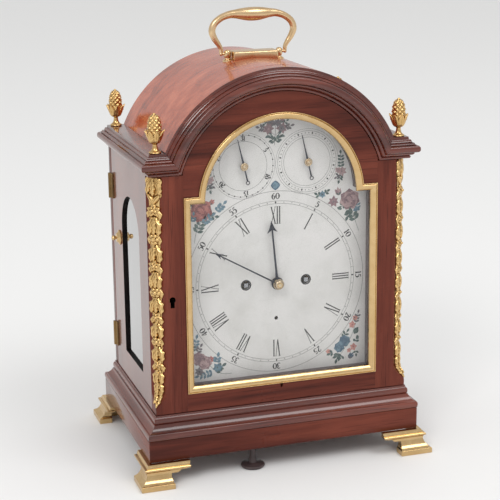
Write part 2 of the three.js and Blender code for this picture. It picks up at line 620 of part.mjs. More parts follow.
// Back door, hinged on the left of the clock, with a turn catch on the other side.
const BACK_OPENING = { half: 98, bottom: 103, shoulder: 280, arch: 79 };
const CATCH_X = 113;
function backDoorFrame() {
  const outline = breakArch(CASE_HALF - FIT, BODY_BOTTOM + FIT, SHOULDER - 0.5, BACK_DOOR_ARCH);
  const frame = frontPlate(withHole(outline,
    breakArch(BACK_OPENING.half, BACK_OPENING.bottom, BACK_OPENING.shoulder, BACK_OPENING.arch)),
  BACK_DOOR_NEAR, CASE_DEPTH, 18);
  return cut(frame, bar(CATCH_X, LOCK_Z, 2.6, BACK_DOOR_NEAR - 2, CASE_DEPTH + 2, 12));
}
add('back_door_frame', backDoorFrame(), MAHOGANY);
const backPane = breakArch(BACK_OPENING.half - FIT, BACK_OPENING.bottom + FIT, BACK_OPENING.shoulder - FIT,
  BACK_OPENING.arch - FIT);
add('back_door_glass', frontPlate(backPane, 173, 175, 18), GLASS);
function backCatch() {
  const spindle = [[0, 160.5 - CASE_DEPTH], [2, 160.5 - CASE_DEPTH], [2, 0.6]];
  const grip = [[7, 0.6], [7, 1.8], [3.2, 3], [3, 6], [6, 8], [6.4, 11], [4, 14], [0, 15]];
  const profile = [...spindle, ...grip].map(([r, out]) => [r, CASE_DEPTH + out]);
  const knob = turnedAlong(profile, CATCH_X, LOCK_Z, 14);
  return join(knob, block(CATCH_X - 3.2, CATCH_X + 3.2, 160, 163, LOCK_Z - 3.2, LOCK_Z + 11.5));
}
add('back_door_catch', backCatch(), BRASS);
const HINGE_X = -137.4;
const HINGE_DEPTH = 168.25;
for (const [name, low] of [['lower', 94], ['upper', 260]]) {
  const knuckle = post(HINGE_X, HINGE_DEPTH, 1.8, low, low + 27, 12);
  const leaf = block(-136.6, -135.3, 161, 168, low, low + 27);
  add(`back_hinge_${name}`, join(knuckle, leaf), BRASS);
}

// ---------- the movement ----------
add('seat_board', block(-120.6, 120.6, SEAT.near, SEAT.far, SEAT.bottom, SEAT.top), INNER_WOOD);

const PLATE = { half: 76, bottom: SEAT.top + FIT, top: 282 };
const PILLARS = [[-71, 120.5], [71, 120.5], [-68, 274], [68, 274], [0, 121]];
const PIVOTS = [[BARREL_X, BARREL_Z], [-BARREL_X, BARREL_Z], [0, THIRD_Z], [0, ESCAPE_Z], [PIN_X, PIN_Z],
  [HAMMER_X, HAMMER_Z], [0, PALLET_Z]];
function frontMovementPlate() {
  const far = PLATE_DEPTH + PLATE_THICK;
  const plate = frontPlate(rectangle(-PLATE.half, PLATE.half, PLATE.bottom, PLATE.top), PLATE_DEPTH, far);
  const holes = PIVOTS.map(([x, z]) => bar(x, z, PIVOT_HOLE_R, PLATE_DEPTH - 1, far + 1, 10));
  holes.push(bar(0, DIAL_Z, 3, PLATE_DEPTH - 1, far + 1, 12));
  holes.push(bar(0, MINUTE_Z, 1.8, PLATE_DEPTH - 1, far + 1, 10));
  for (const [, sign] of SIDES) {
    holes.push(bar(sign * FUSEE_X, DIAL_Z, 3.4, PLATE_DEPTH - 1, far + 1, 12));
  }
  return cut(plate, ...holes);
}
add('movement_front_plate', frontMovementPlate(), BRASS);

// Back plate with its pillars, the suspension cock and the bell stand.
const BELL = { depth: 60.5, mouth: 300, radius: 35, crown: 331 };
function backMovementPlate() {
  const near = BACKPLATE_DEPTH;
  const far = near + PLATE_THICK;
  const plate = frontPlate(rectangle(-PLATE.half, PLATE.half, PLATE.bottom, PLATE.top), near, far);
  const holes = PIVOTS.slice(0, -1).map(([x, z]) => bar(x, z, PIVOT_HOLE_R, near - 1, far + 1, 10));
  holes.push(bar(0, PALLET_Z, 3.2, near - 1, far + 1, 12));
  for (const x of [0, -FUSEE_X, FUSEE_X]) holes.push(bar(x, DIAL_Z, PIVOT_HOLE_R, near - 1, far + 1, 10));
  const pillars = PILLARS.map(([x, z]) => bar(x, z, 3.4, PLATE_DEPTH + PLATE_THICK + FIT, near + 0.5, 10));
  const cock = block(-7, 7, far - 0.5, 114, 271, 280);
  const riser = block(-6, 6, near, far, PLATE.top - 1, 341);
  const reach = block(-5, 5, BELL.depth - 5, far, 338.4, 341);
  const stem = post(0, BELL.depth, 2, 325.5, 339, 12);
  const nut = post(0, BELL.depth, 5, 324, 328, 6);
  return join(cut(plate, ...holes), ...pillars, cock, riser, reach, stem, nut);
}
add('movement_back_plate', backMovementPlate(), BRASS);
const BELL_PROFILE = [[2.5, BELL.crown], [9, BELL.crown - 0.4], [20, BELL.crown - 5], [28, BELL.crown - 13],
  [32, BELL.crown - 23], [BELL.radius, BELL.mouth], [BELL.radius - 3, BELL.mouth], [29.8, BELL.crown - 22],
  [26, BELL.crown - 14], [18.8, BELL.crown - 7], [9, BELL.crown - 2.4], [2.5, BELL.crown - 2],
  [2.5, BELL.crown]];
add('bell', turned(BELL_PROFILE, 0, BELL.depth, 20), BELL_METAL);
function hammer() {
  const staff = arbor(HAMMER_X, HAMMER_Z, 1.7);
  const arm = frontPlate(
    polygon([[HAMMER_X - 2, HAMMER_Z], [HAMMER_X + 2, HAMMER_Z], [-41, 301], [-44, 302]]),
    BELL.depth - 1.2, BELL.depth + 1.2);
  const head = frontPlate(polygon([[-48, 299.5], [-37, 299.5], [-37, 306.5], [-48, 308.5]]),
    BELL.depth - 4, BELL.depth + 4);
  const tail = frontPlate(
    polygon([[HAMMER_X - 2, HAMMER_Z - 1], [HAMMER_X + 3, HAMMER_Z - 1], [-55, 240], [-57, 239]]),
    BELL.depth - 1.2, BELL.depth + 1.2);
  return join(staff, arm, head, tail);
}
add('hammer', hammer(), STEEL);

// Dial plate with its feet.
const DIAL_HOLE_Z = 153; // a small plain hole below the hands
const DIAL = { half: 100.5, bottom: 87.5, shoulder: 293.2, arch: 89 };
function dialPlate() {
  const far = DIAL_DEPTH + 1.5;
  const outline = breakArch(DIAL.half, DIAL.bottom, DIAL.shoulder, DIAL.arch);
  const plate = frontPlate(outline, DIAL_DEPTH, far, 18);
  const holes = [bar(0, DIAL_Z, 5.2, 20, 24, 16), bar(0, DIAL_HOLE_Z, 1.9, 20, 24, 10)];
  for (const [, sign] of SIDES) {
    holes.push(bar(sign * FUSEE_X, DIAL_Z, 4.3, 20, 24, 16));
    holes.push(bar(sign * SUBDIAL_X, SUBDIAL_Z, 1.9, 20, 24, 10));
  }
  const feet = [];
  for (const z of [132, 264]) {
    for (const [, sign] of SIDES) feet.push(bar(sign * 66, z, 2.6, far - 0.4, PLATE_DEPTH - FIT, 10));
  }
  return join(cut(plate, ...holes), ...feet);
}
add('dial_plate', dialPlate(), DIAL_PAINT);

// Hands, drawn pointing up and turned to the time shown.
function hand(outline, x, z, turn, near, far) {
  return frontPlate(polygon(outline), near, far).rotateY(turn).translate(x, 0, z);
}
const MINUTE_TURN = (-60 * Math.PI) / 180;
const HOUR_TURN = (-5.3 * Math.PI) / 180;
const SMALL_TURN = (-13 * Math.PI) / 180;
// A hand's blade: a boss, a slim shank, a leaf near the end, and the point.
function bladeOutline(length, boss, shank, leafAt, leafHalf) {
  const right = [[boss * 0.5, -boss], [boss, -boss * 0.4], [boss, boss * 0.4], [boss * 0.5, boss],
    [shank, boss + 3], [shank * 0.8, leafAt - 6], [leafHalf, leafAt], [shank * 0.7, length - 4],
    [0.35, length]];
  return [...right, ...right.map(([x, y]) => [-x, y]).reverse()];
}
const HOUR_HAND_DEPTH = [16.4, 17.6];
const MINUTE_HAND_DEPTH = [13.2, 14.4];
const hourBlade = hand(bladeOutline(66, 6.4, 1.4, 54, 3.2), 0, DIAL_Z, HOUR_TURN, ...HOUR_HAND_DEPTH);
const minuteBlade = hand(bladeOutline(78, 5.2, 1.2, 66, 2.2), 0, DIAL_Z, MINUTE_TURN, ...MINUTE_HAND_DEPTH);
add('hour_hand', cut(hourBlade, bar(0, DIAL_Z, 4.4, 15, 19, 16)), BLUED);
add('minute_hand', cut(minuteBlade, bar(0, DIAL_Z, 2.5, 12, 16, 12)), BLUED);
function smallHand(sign) {
  const x = sign * SUBDIAL_X;
  const right = [[1.2, -19], [0.5, -4], [2.6, -1.6], [2.6, 1.6], [0.8, 4], [0.3, 28]];
  const outline = [...right, ...right.map(([u, v]) => [-u, v]).reverse()];
  const pointer = hand(outline, x, SUBDIAL_Z, SMALL_TURN, 17.6, 18.6);
  return join(pointer, bar(x, SUBDIAL_Z, 4.2, 16.2, 17.9, 14), bar(x, SUBDIAL_Z, 1.3, 18, 31, 10),
    bar(x, SUBDIAL_Z, 4, 28, 30, 12));
}
add('calendar_hand', smallHand(-1), BLUED);
add('strike_silent_hand', smallHand(1), BLUED);

// Going train, from the hands' arbor outwards, every wheel in mesh with its neighbour.
const CENTRE_PHASE = 0.1;
function centreArbor() {
  const shaft = bar(0, DIAL_Z, 1.6, PLATE_DEPTH - 2, BACKPLATE_DEPTH - 0.5, 12);
  const pivot = bar(0, DIAL_Z, PIVOT_R, BACKPLATE_DEPTH - 1, BACKPLATE_DEPTH + 1.9, 8);
  const cannon = bar(0, DIAL_Z, 2.1, 12, PLATE_DEPTH - 0.5, 12);
  const collet = turnedAlong([[0, 8.8], [2.6, 8.8], [4.4, 10.4], [5.6, 12.1], [5.6, 12.8], [0, 12.8]],
    0, DIAL_Z, 18);
  return join(shaft, pivot, cannon, collet,
    toothedWheel(0, DIAL_Z, PINION, GREAT.module, CENTRE_PHASE, 87, 92.4),
    toothedWheel(0, DIAL_Z, CENTRE.teeth, CENTRE.module, CENTRE_PHASE, 93.6, 95.2),
    toothedWheel(0, DIAL_Z, CANNON.teeth, CANNON.module, CENTRE_PHASE, 33, 34.6));
}
add('centre_arbor', centreArbor(), BRASS);

// A fusee: a grooved cone, its great wheel, and the winding square that reaches the dial.
function fusee(x, wheel, wheelNear, phase) {
  const cone = [[0, 44], [7.4, 44], [7.8, 47]];
  const turns = 4;
  const from = 48;
  const step = (wheelNear - 3 - from) / turns;
  for (let i = 0; i < turns; i += 1) {
    const depth = from + i * step;
    const r = 8.4 + 10.6 * (i / (turns - 1)) ** 1.2;
    cone.push([r, depth], [r, depth + step * 0.55], [r - 0.9, depth + step * 0.78]);
  }
  cone.push([20, wheelNear - 2.6], [20, wheelNear + 0.5], [0, wheelNear + 0.5]);
  const square = new THREE.CylinderGeometry(3, 3, 4, 4).rotateY(Math.PI / 4);
  square.translate(x, behind(22.8), DIAL_Z);
  return join(turnedAlong(cone, x, DIAL_Z, 14), arbor(x, DIAL_Z, 2), square,
    bar(x, DIAL_Z, 2.7, 24.2, 46, 8),
    toothedWheel(x, DIAL_Z, wheel.teeth, wheel.module, phase, wheelNear, wheelNear + 3));
}
add('going_fusee', fusee(FUSEE_X, GREAT, 88, meshPhase(CENTRE_PHASE, PINION, 0, GREAT.teeth)), BRASS);
const STRIKE_PHASE = 0.2;
add('strike_fusee', fusee(-FUSEE_X, STRIKE_GREAT, 84, STRIKE_PHASE), BRASS);

function barrel(x) {
  const profile = [[0, 43], [21.6, 43], [21.6, 44.6], [20.6, 45], [20.6, 80], [21.6, 80.4], [21.6, 82],
    [0, 82]];
  const drum = turnedAlong(profile, x, BARREL_Z, 18);
  return join(drum, arbor(x, BARREL_Z, 2.6));
}
add('going_barrel', barrel(BARREL_X), BRASS);
add('strike_barrel', barrel(-BARREL_X), BRASS);

const THIRD_PHASE = meshPhase(CENTRE_PHASE, CENTRE.teeth, Math.PI / 2, PINION);
add('third_wheel', join(arbor(0, THIRD_Z, 1.4),
  toothedWheel(0, THIRD_Z, PINION, CENTRE.module, THIRD_PHASE, 92.4, 96.4),
  toothedWheel(0, THIRD_Z, THIRD.teeth, THIRD.module, THIRD_PHASE, 60, 61.6)), BRASS);

function escapeWheel() {
  const phase = meshPhase(THIRD_PHASE, THIRD.teeth, Math.PI / 2, PINION);
  const points = [];
  for (let i = 0; i < ESCAPE.teeth; i += 1) {
    const angle = (i * 2 * Math.PI) / ESCAPE.teeth;
    points.push(polar(ESCAPE.tip, angle));
    points.push(polar(ESCAPE.root, angle + ESCAPE.lean));
  }
  const wheel = frontPlate(polygon(points), 90, 91.4).translate(0, 0, ESCAPE_Z);
  return join(arbor(0, ESCAPE_Z, 1.2), wheel,
    toothedWheel(0, ESCAPE_Z, PINION, THIRD.module, phase, 57, 64.6));
}
add('escape_wheel', escapeWheel(), BRASS);

// Anchor with its arbor, and the crutch behind the back plate.
const PENDULUM_DEPTH = 108;
function palletAnchor() {
  const rise = PALLET_Z;
  const side = [[14.5, -9.1], [13, -3.1], [4, 1.9]];
  const inner = [[3, -2.6], [10.5, -4.6], [12.4, -8]];
  const outline = [...side, ...side.map(([x, z]) => [-x, z]).reverse(),
    ...inner.map(([x, z]) => [-x, z]).reverse(), ...inner];
  const anchor = frontPlate(polygon(outline), 89.4, 92).translate(0, 0, rise);
  const staff = join(bar(0, rise, 1.4, PLATE_DEPTH + 2.8, 104.4, 10),
    bar(0, rise, PIVOT_R, PLATE_DEPTH + 0.6, 40, 8));
  const crutch = block(-1, 1, 102.6, 104.4, rise - 44, rise + 1);
  const fork = block(-3.6, 3.6, 102.6, 104.4, rise - 46, rise - 43);
  const prongs = [[-3.6, -2.2], [2.2, 3.6]].map(
    ([left, right]) => block(left, right, 103, 110.5, rise - 46, rise - 43));
  return join(anchor, staff, crutch, fork, ...prongs);
}
add('pallet_anchor', palletAnchor(), STEEL);

const PENDULUM_LENGTH = 169.7;
function pendulum() {
  const bobZ = PALLET_Z - PENDULUM_LENGTH;
  const spring = block(-2.4, 2.4, PENDULUM_DEPTH - 0.4, PENDULUM_DEPTH + 0.4, PALLET_Z - 9, PALLET_Z + 4.6);
  const rod = post(0, PENDULUM_DEPTH, 1.3, bobZ - 24, PALLET_Z - 8, 10);
  const bob = turnedAlong([[0, 103.4], [8, 104], [14.6, 106], [17, PENDULUM_DEPTH], [14.6, 110], [8, 112],
    [0, 112.6]], 0, bobZ, 20);
  const nut = post(0, PENDULUM_DEPTH, 3.6, bobZ - 21.4, bobZ - 18.4, 8);
  return join(spring, rod, bob, nut);
}
add('pendulum', pendulum(), BRASS);

// Motion work between the front plate and the dial: twelve turns of the minute hand to one.
const MINUTE_PHASE = meshPhase(CENTRE_PHASE, CANNON.teeth, -Math.PI / 2, CANNON.teeth);
add('minute_wheel', join(bar(0, MINUTE_Z, 1.2, 26, 37.6, 8),
  toothedWheel(0, MINUTE_Z, CANNON.teeth, CANNON.module, MINUTE_PHASE, 33, 34.6),
  toothedWheel(0, MINUTE_Z, PINION, HOUR.module, MINUTE_PHASE, 26.4, 33.2)), BRASS);
function hourWheel() {
  const phase = meshPhase(MINUTE_PHASE, PINION, Math.PI / 2, HOUR.teeth);
  const wheel = toothedWheel(0, DIAL_Z, HOUR.teeth, HOUR.module, phase, 28, 29.6);
  const pipe = bar(0, DIAL_Z, 4, 15.2, 29, 16);
  return cut(join(wheel, pipe), bar(0, DIAL_Z, 2.7, 14, 31, 16));
}
add('hour_wheel', hourWheel(), BRASS);

// Strike train: the pin wheel, whose pins lift the hammer tail.
function pinWheel() {
  const phase = meshPhase(STRIKE_PHASE, STRIKE_GREAT.teeth, STRIKE_LINE, PINION);
  const pins = [];
  for (let i = 0; i < PIN_WHEEL.pins; i += 1) {
    const angle = (i * 2 * Math.PI) / PIN_WHEEL.pins;
    const [x, z] = polar(PIN_WHEEL.pinCircle, angle);
    pins.push(bar(PIN_X + x, PIN_Z + z, 0.8, 46, 50.4, 6));
  }
  return join(arbor(PIN_X, PIN_Z, 1.5), ...pins,
    toothedWheel(PIN_X, PIN_Z, PINION, STRIKE_GREAT.module, phase, 83, 88),
    toothedWheel(PIN_X, PIN_Z, PIN_WHEEL.teeth, PIN_WHEEL.module, phase, 50, 51.6));
}
add('pin_wheel', pinWheel(), BRASS);

export default clock;
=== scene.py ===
"""Looks of a mahogany table clock with a vaulted top, a painted dial and gilt brass mounts.

Sizes are millimetres unless a name says otherwise, in the clock's own frame: +X to the right of
the dial, +Y from front to back, +Z up, origin on the ground under the middle. Meshes are in metres.
"""
import json
import random
from math import acos, asin, atan2, cos, dist, hypot, pi, radians, sin, sqrt

import bmesh
import bpy
from mathutils import Matrix, Vector
from mathutils.geometry import tessellate_polygon

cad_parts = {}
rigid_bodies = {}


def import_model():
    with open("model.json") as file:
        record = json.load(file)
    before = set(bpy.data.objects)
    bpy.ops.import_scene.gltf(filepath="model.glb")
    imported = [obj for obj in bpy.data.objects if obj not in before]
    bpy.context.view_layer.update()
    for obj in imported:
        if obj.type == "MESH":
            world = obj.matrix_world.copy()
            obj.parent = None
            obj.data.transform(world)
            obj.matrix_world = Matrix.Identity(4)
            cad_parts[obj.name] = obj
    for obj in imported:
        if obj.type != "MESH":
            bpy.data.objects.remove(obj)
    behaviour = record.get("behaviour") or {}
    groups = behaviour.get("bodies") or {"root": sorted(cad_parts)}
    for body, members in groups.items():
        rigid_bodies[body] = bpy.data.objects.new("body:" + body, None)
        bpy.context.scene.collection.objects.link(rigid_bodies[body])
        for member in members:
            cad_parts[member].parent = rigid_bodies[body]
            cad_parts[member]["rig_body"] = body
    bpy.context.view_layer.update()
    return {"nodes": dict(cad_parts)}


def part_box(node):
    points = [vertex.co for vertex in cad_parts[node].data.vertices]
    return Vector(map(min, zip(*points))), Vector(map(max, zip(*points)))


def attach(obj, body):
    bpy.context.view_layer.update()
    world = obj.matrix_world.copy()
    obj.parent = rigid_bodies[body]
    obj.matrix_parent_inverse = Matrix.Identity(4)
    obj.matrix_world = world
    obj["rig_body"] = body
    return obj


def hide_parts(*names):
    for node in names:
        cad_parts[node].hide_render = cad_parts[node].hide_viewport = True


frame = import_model()

MM = 0.001
SCENE = bpy.context.scene
NODES = frame["nodes"]

# ---------- driving dimensions, the clock's own ----------
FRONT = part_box("door_frame")[0].y / MM
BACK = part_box("back_door_frame")[1].y / MM
CASE_HALF = 135.0
SHOULDER = 314.5
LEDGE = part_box("cornice_left")[1].z / MM
BODY_BOTTOM = 70.8
PLINTH_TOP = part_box("plinth_frame")[1].z / MM
ARCH_Z = 283.07
ARCH_INNER = 107.9
ARCH_OUTER = 130.7
DOOR_ARCH = 107.3
DOOR_THICK = 16.5
VAULT_R = 127.0
VAULT_Z = 286.9
VAULT_WALL = 8.5
FRONT_ZONE = 17.2
CASE_DEPTH = BACK - FRONT
DIAL_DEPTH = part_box("dial_plate")[0].y / MM - FRONT
DIAL_Z = 190.96
SUBDIAL_X = 33.8
SUBDIAL_Z = 314.3
PLATE_DEPTH = 36.0
HANDLE_DEPTH = 89.0
HANDLE_Z = 418.0
SIDES = {"left": -1, "right": 1}
ENDS = {"front": -1, "rear": 1}


def behind(depth):
    """Y of a place that far behind the front of the door."""
    return FRONT + depth


# ---------- stage: camera, lights, floor ----------
CAMERA_AT = (-456.081, -1403.496, 597.056)
CAMERA_TURNS = {"yaw": -17.817, "pitch": -14.778, "roll": -0.651}
FOCAL_IN_FRAMES = 1433.943 / 500
SENSOR_MM = 36.0


def put(name, data):
    """Puts an object in the scene."""
    item = bpy.data.objects.new(name, data)
    SCENE.collection.objects.link(item)
    return item


def make_camera():
    data = bpy.data.cameras.new("camera")
    data.sensor_width = SENSOR_MM
    data.lens = SENSOR_MM * FOCAL_IN_FRAMES
    yaw, pitch, roll = (radians(a) for a in CAMERA_TURNS.values())
    ahead = Vector((-sin(yaw) * cos(pitch), cos(yaw) * cos(pitch), sin(pitch)))
    level = ahead.cross(Vector((0, 0, 1))).normalized()
    upright = level.cross(ahead)
    right = cos(roll) * level + sin(roll) * upright
    up = cos(roll) * upright - sin(roll) * level
    columns = (right, up, -ahead, Vector(CAMERA_AT) * MM)
    rows = [[column[i] for column in columns] for i in range(3)]
    SCENE.camera = put("camera", data)
    SCENE.camera.matrix_world = Matrix(rows + [[0, 0, 0, 1]])


LIT_SPOT = (0, 0, 0.2)


def area_light(name, at, size, watts, colour=(1, 1, 1)):
    """A square lamp that looks at the clock's middle."""
    data = bpy.data.lights.new(name, "AREA")
    data.shape = "RECTANGLE"
    data.size = data.size_y = size
    data.energy = watts
    data.color = colour
    light = put(name, data)
    light.location = at
    light.rotation_euler = (Vector(LIT_SPOT) - Vector(at)).to_track_quat("-Z", "Y").to_euler()


ROOM_LIGHT = 0.80
BACKDROP = 0.92
MIRRORED_ROOM = 0.68


def make_world():
    """A pale room that polished faces mirror a little darker than it is."""
    world = bpy.data.worlds.new("room")
    SCENE.world = world
    world.use_nodes = True
    tree = Tree(world.node_tree)
    path = tree.add("LightPath").outputs
    seen = tree.maths("MAXIMUM", path["Is Camera Ray"], path["Is Transmission Ray"])
    strength = tree.maths("MULTIPLY_ADD", seen, BACKDROP - ROOM_LIGHT, ROOM_LIGHT)
    strength = tree.maths("MULTIPLY_ADD", path["Is Glossy Ray"], MIRRORED_ROOM - ROOM_LIGHT, strength)
    tree.fill(tree.find("Background"), {"Color": (1, 1, 0.992, 1), "Strength": strength})


FLOOR_HALF_M = 14.0


def make_floor():
    mesh = bpy.data.meshes.new("floor")
    s = FLOOR_HALF_M
    mesh.from_pydata([(-s, -s, 0), (s, -s, 0), (s, s, 0), (-s, s, 0)], [], [(0, 1, 2, 3)])
    floor = put("floor", mesh)
    tree, shader = new_material("floor_paper")
    tree.fill(shader, {"Base Color": (0.85, 0.85, 0.85, 1), "Roughness": 0.75, "Specular IOR Level": 0.15})
    mesh.materials.append(tree.material)


# ---------- shader nodes ----------
class Tree:
    """Short names for building a node tree."""

    def __init__(self, node_tree, material=None):
        self.nodes = node_tree.nodes
        self.links = node_tree.links
        self.material = material

    def add(self, kind, inputs=None, **settings):
        node = self.nodes.new(f"ShaderNode{kind}")
        for key, value in settings.items():
            setattr(node, key, value)
        self.fill(node, inputs or {})
        return node

    def find(self, kind):
        return next(n for n in self.nodes if n.bl_idname == f"ShaderNode{kind}")

    def feed(self, socket, value):
        if isinstance(value, bpy.types.NodeSocket):
            self.links.new(value, socket)
        else:
            socket.default_value = value

    def fill(self, node, inputs):
        """Sets inputs, by name or number, to values or to what other nodes put out."""
        for key, value in inputs.items():
            self.feed(node.inputs[key], value)

    def maths(self, operation, *values):
        return self.add("Math", dict(enumerate(values)), operation=operation).outputs[0]

    def spread(self, value, low, high, to_low=0.0, to_high=1.0):
        """value carried from one range to another, held at its ends."""
        return self.add("MapRange", dict(enumerate((value, low, high, to_low, to_high)))).outputs[0]

    def noise(self, place, scale, detail=4.0, rough=0.55, warp=0.0):
        inputs = {"Vector": place, "Scale": scale, "Detail": detail, "Roughness": rough, "Distortion": warp}
        return self.add("TexNoise", inputs).outputs["Fac"]

    def place(self, stretch=(1, 1, 1)):
        """Object coordinates in metres, stretched."""
        source = self.add("TexCoord").outputs["Object"]
        return self.add("Mapping", {"Vector": source, "Scale": stretch}).outputs["Vector"]

    def ramp(self, value, stops):
        node = self.add("ValToRGB", {"Fac": value})
        elements = node.color_ramp.elements
        while len(elements) < len(stops):
            elements.new(0.5)
        for element, (at, colour) in zip(elements, stops):
            element.position = at
            element.color = (*colour, 1)
        return node.outputs["Color"]

    def blend(self, factor, *colours):
        node = self.add("Mix", {0: factor}, data_type="RGBA")
        colour_inputs = [s for s in node.inputs if s.type == "RGBA"]
        for socket, value in zip(colour_inputs, colours):
            self.feed(socket, value if isinstance(value, bpy.types.NodeSocket) else (*value, 1))
        return next(s for s in node.outputs if s.type == "RGBA")

    def bump(self, height, depth_m, strength=1.0):
        inputs = {"Height": height, "Distance": depth_m, "Strength": strength}
        return self.add("Bump", inputs).outputs["Normal"]


def new_material(name):
    material = bpy.data.materials.new(name)
    material.use_nodes = True
    tree = Tree(material.node_tree, material)
    return tree, tree.find("BsdfPrincipled")


def srgb(red, green, blue):
    """A colour given as 0 to 255 screen values, as the shaders take it."""
    def linear(value):
        share = value / 255
        return share / 12.92 if share <= 0.04045 else ((share + 0.055) / 1.055) ** 2.4
    return tuple(linear(v) for v in (red, green, blue))


GRAIN_ALONG = {"x": (0.07, 1, 1), "y": (1, 0.07, 1), "z": (1, 1, 0.07)}


def wood(name, grain, tones, gloss=(0.2, 0.34), figure=1.0, polish=0.35, coat=0.25):
    """Polished wood: long streaks along the grain, broad figure, dark pores, an uneven shine."""
    tree, shader = new_material(name)
    dark, middle, light = (srgb(*tone) for tone in tones)
    stretch = GRAIN_ALONG[grain]
    streaks = tree.noise(tree.place(stretch), 95, 7, 0.62, 0.35 * figure)
    broad = tree.noise(tree.place(stretch), 16, 3, 0.5, 1.1 * figure)
    pores = tree.noise(tree.place([s * (0.35 if s < 1 else 1) for s in stretch]), 900, 2, 0.6)
    wear = tree.noise(tree.place(), 14, 4, 0.6)
    body = tree.maths("MULTIPLY_ADD", broad, 0.62, tree.maths("MULTIPLY", streaks, 0.42))
    colour = tree.ramp(body, [(0.36, dark), (0.5, middle), (0.66, light)])
    colour = tree.blend(tree.spread(pores, 0.56, 0.7, 0.0, 0.5), colour, tuple(c * 0.42 for c in dark))
    colour = tree.blend(tree.spread(wear, 0.3, 0.72, 0.0, 0.22), colour, tuple(c * 0.6 for c in dark))
    tree.fill(shader, {
        "Base Color": colour, "Roughness": tree.spread(wear, 0.3, 0.75, *gloss),
        "Specular IOR Level": polish, "Coat Weight": coat, "Coat Roughness": 0.08,
        "Normal": tree.bump(pores, 0.00006, 0.5)})
    return tree.material


def cast_metal(name, tones, gloss=(0.16, 0.34), grain=160.0, relief_shading=0.0):
    """Gilt or polished brass, unevenly bright; on a cast relief the hollow parts are darkened and the raised
    parts lightened as painted shade.
    """
    tree, shader = new_material(name)
    painted_shade_tone, deep, bright = (srgb(*tone) for tone in tones)
    # Painted shade: the mesh's pointiness darkens the relief's hollow parts towards the darkest tone and
    # lightens its raised parts.
    relief = tree.spread(tree.add("NewGeometry").outputs["Pointiness"], 0.46, 0.535)
    mottled = tree.noise(tree.place(), grain, 5, 0.6, 0.4)
    broad = tree.noise(tree.place(), grain / 6, 3, 0.5)
    tone = tree.maths("MULTIPLY_ADD", mottled, 0.4, 0.38 * (1 - relief_shading))
    tone = tree.maths("MULTIPLY_ADD", relief, 0.7 * relief_shading, tone)
    colour = tree.ramp(tone, [(0.22, painted_shade_tone), (0.44, deep), (0.7, bright)])
    shine = tree.maths("MULTIPLY_ADD", mottled, 0.6, tree.maths("MULTIPLY", broad, 0.4))
    tree.fill(shader, {
        "Metallic": 1.0, "Base Color": colour, "Roughness": tree.spread(shine, 0.3, 0.7, *gloss),
        "Normal": tree.bump(mottled, 0.0001, 0.35)})
    return tree.material


def turned_metal(name, tone, dark, gloss=(0.18, 0.36)):
    """Lacquered or oiled metal of the movement, with fine lathe and file marks."""
    tree, shader = new_material(name)
    fine = tree.noise(tree.place((1, 0.2, 1)), 700, 3, 0.6)
    stain = tree.noise(tree.place(), 30, 4, 0.6, 0.5)
    colour = tree.blend(tree.spread(stain, 0.35, 0.75, 0.0, 0.7), srgb(*tone), srgb(*dark))
    tree.fill(shader, {
        "Metallic": 1.0, "Base Color": colour, "Roughness": tree.spread(fine, 0.3, 0.7, *gloss),
        "Normal": tree.bump(fine, 0.00004, 0.4)})
    return tree.material


def dial_ground(name):
    """Aged white paint: mottled, slightly yellow in patches, finely crazed, with small specks."""
    tree, shader = new_material(name)
    broad = tree.noise(tree.place(), 22, 5, 0.6, 0.3)
    fine = tree.noise(tree.place(), 420, 4, 0.65)
    stained, aged, clean = srgb(207, 206, 203), srgb(219, 218, 216), srgb(226, 224, 223)
    colour = tree.ramp(broad, [(0.3, stained), (0.5, aged), (0.72, clean)])
    craze = tree.add("TexVoronoi", feature="DISTANCE_TO_EDGE")
    tree.fill(craze, {"Vector": tree.place(), "Scale": 240})
    line = tree.spread(craze.outputs["Distance"], 0.0, 0.035, 0.16, 0.0)
    colour = tree.blend(line, colour, srgb(150, 146, 132))
    speck = tree.spread(tree.noise(tree.place(), 330, 2, 0.5), 0.74, 0.8, 0.0, 0.5)
    colour = tree.blend(speck, colour, srgb(140, 132, 112))
    tree.fill(shader, {
        "Base Color": colour, "Roughness": tree.spread(fine, 0.3, 0.7, 0.38, 0.55),
        "Specular IOR Level": 0.4, "Normal": tree.bump(fine, 0.00004, 0.35)})
    return tree.material


def paint(name, light, dark, scale=260.0, rough=0.5):
    """Hand-laid colour on the dial, thinner and thicker by turns."""
    tree, shader = new_material(name)
    brush = tree.noise(tree.place(), scale, 4, 0.6, 0.6)
    colour = tree.ramp(brush, [(0.34, srgb(*dark)), (0.62, srgb(*light))])
    shine = tree.spread(brush, 0.3, 0.7, rough - 0.08, rough + 0.1)
    tree.fill(shader, {"Base Color": colour, "Roughness": shine})
    return tree.material


def clear_glass(name, gain=1.9):
    """Thin plate glass: what is behind it shows, and it mirrors more the flatter it is seen.

    The gain stands for its second face, which mirrors as well.
    """
    tree, shader = new_material(name)
    tree.nodes.remove(shader)
    through = tree.add("BsdfTransparent", {"Color": (0.985, 0.985, 0.985, 1)})
    mirror = tree.add("BsdfGlossy", {"Roughness": 0.015})
    tree.fill(mirror, {"Normal": tree.bump(tree.noise(tree.place(), 9, 2, 0.5), 0.0006)})
    fresnel = tree.add("Fresnel", {"IOR": 1.46})
    mix = tree.add("MixShader")
    backfacing = tree.add("NewGeometry").outputs["Backfacing"]
    outside = tree.maths("SUBTRACT", gain, tree.maths("MULTIPLY", backfacing, gain))
    share = tree.maths("MINIMUM", tree.maths("MULTIPLY", fresnel.outputs[0], outside), 1.0)
    tree.fill(mix, {0: share, 1: through.outputs[0], 2: mirror.outputs[0]})
    tree.fill(tree.find("OutputMaterial"), {"Surface": mix.outputs[0]})
    return tree.material


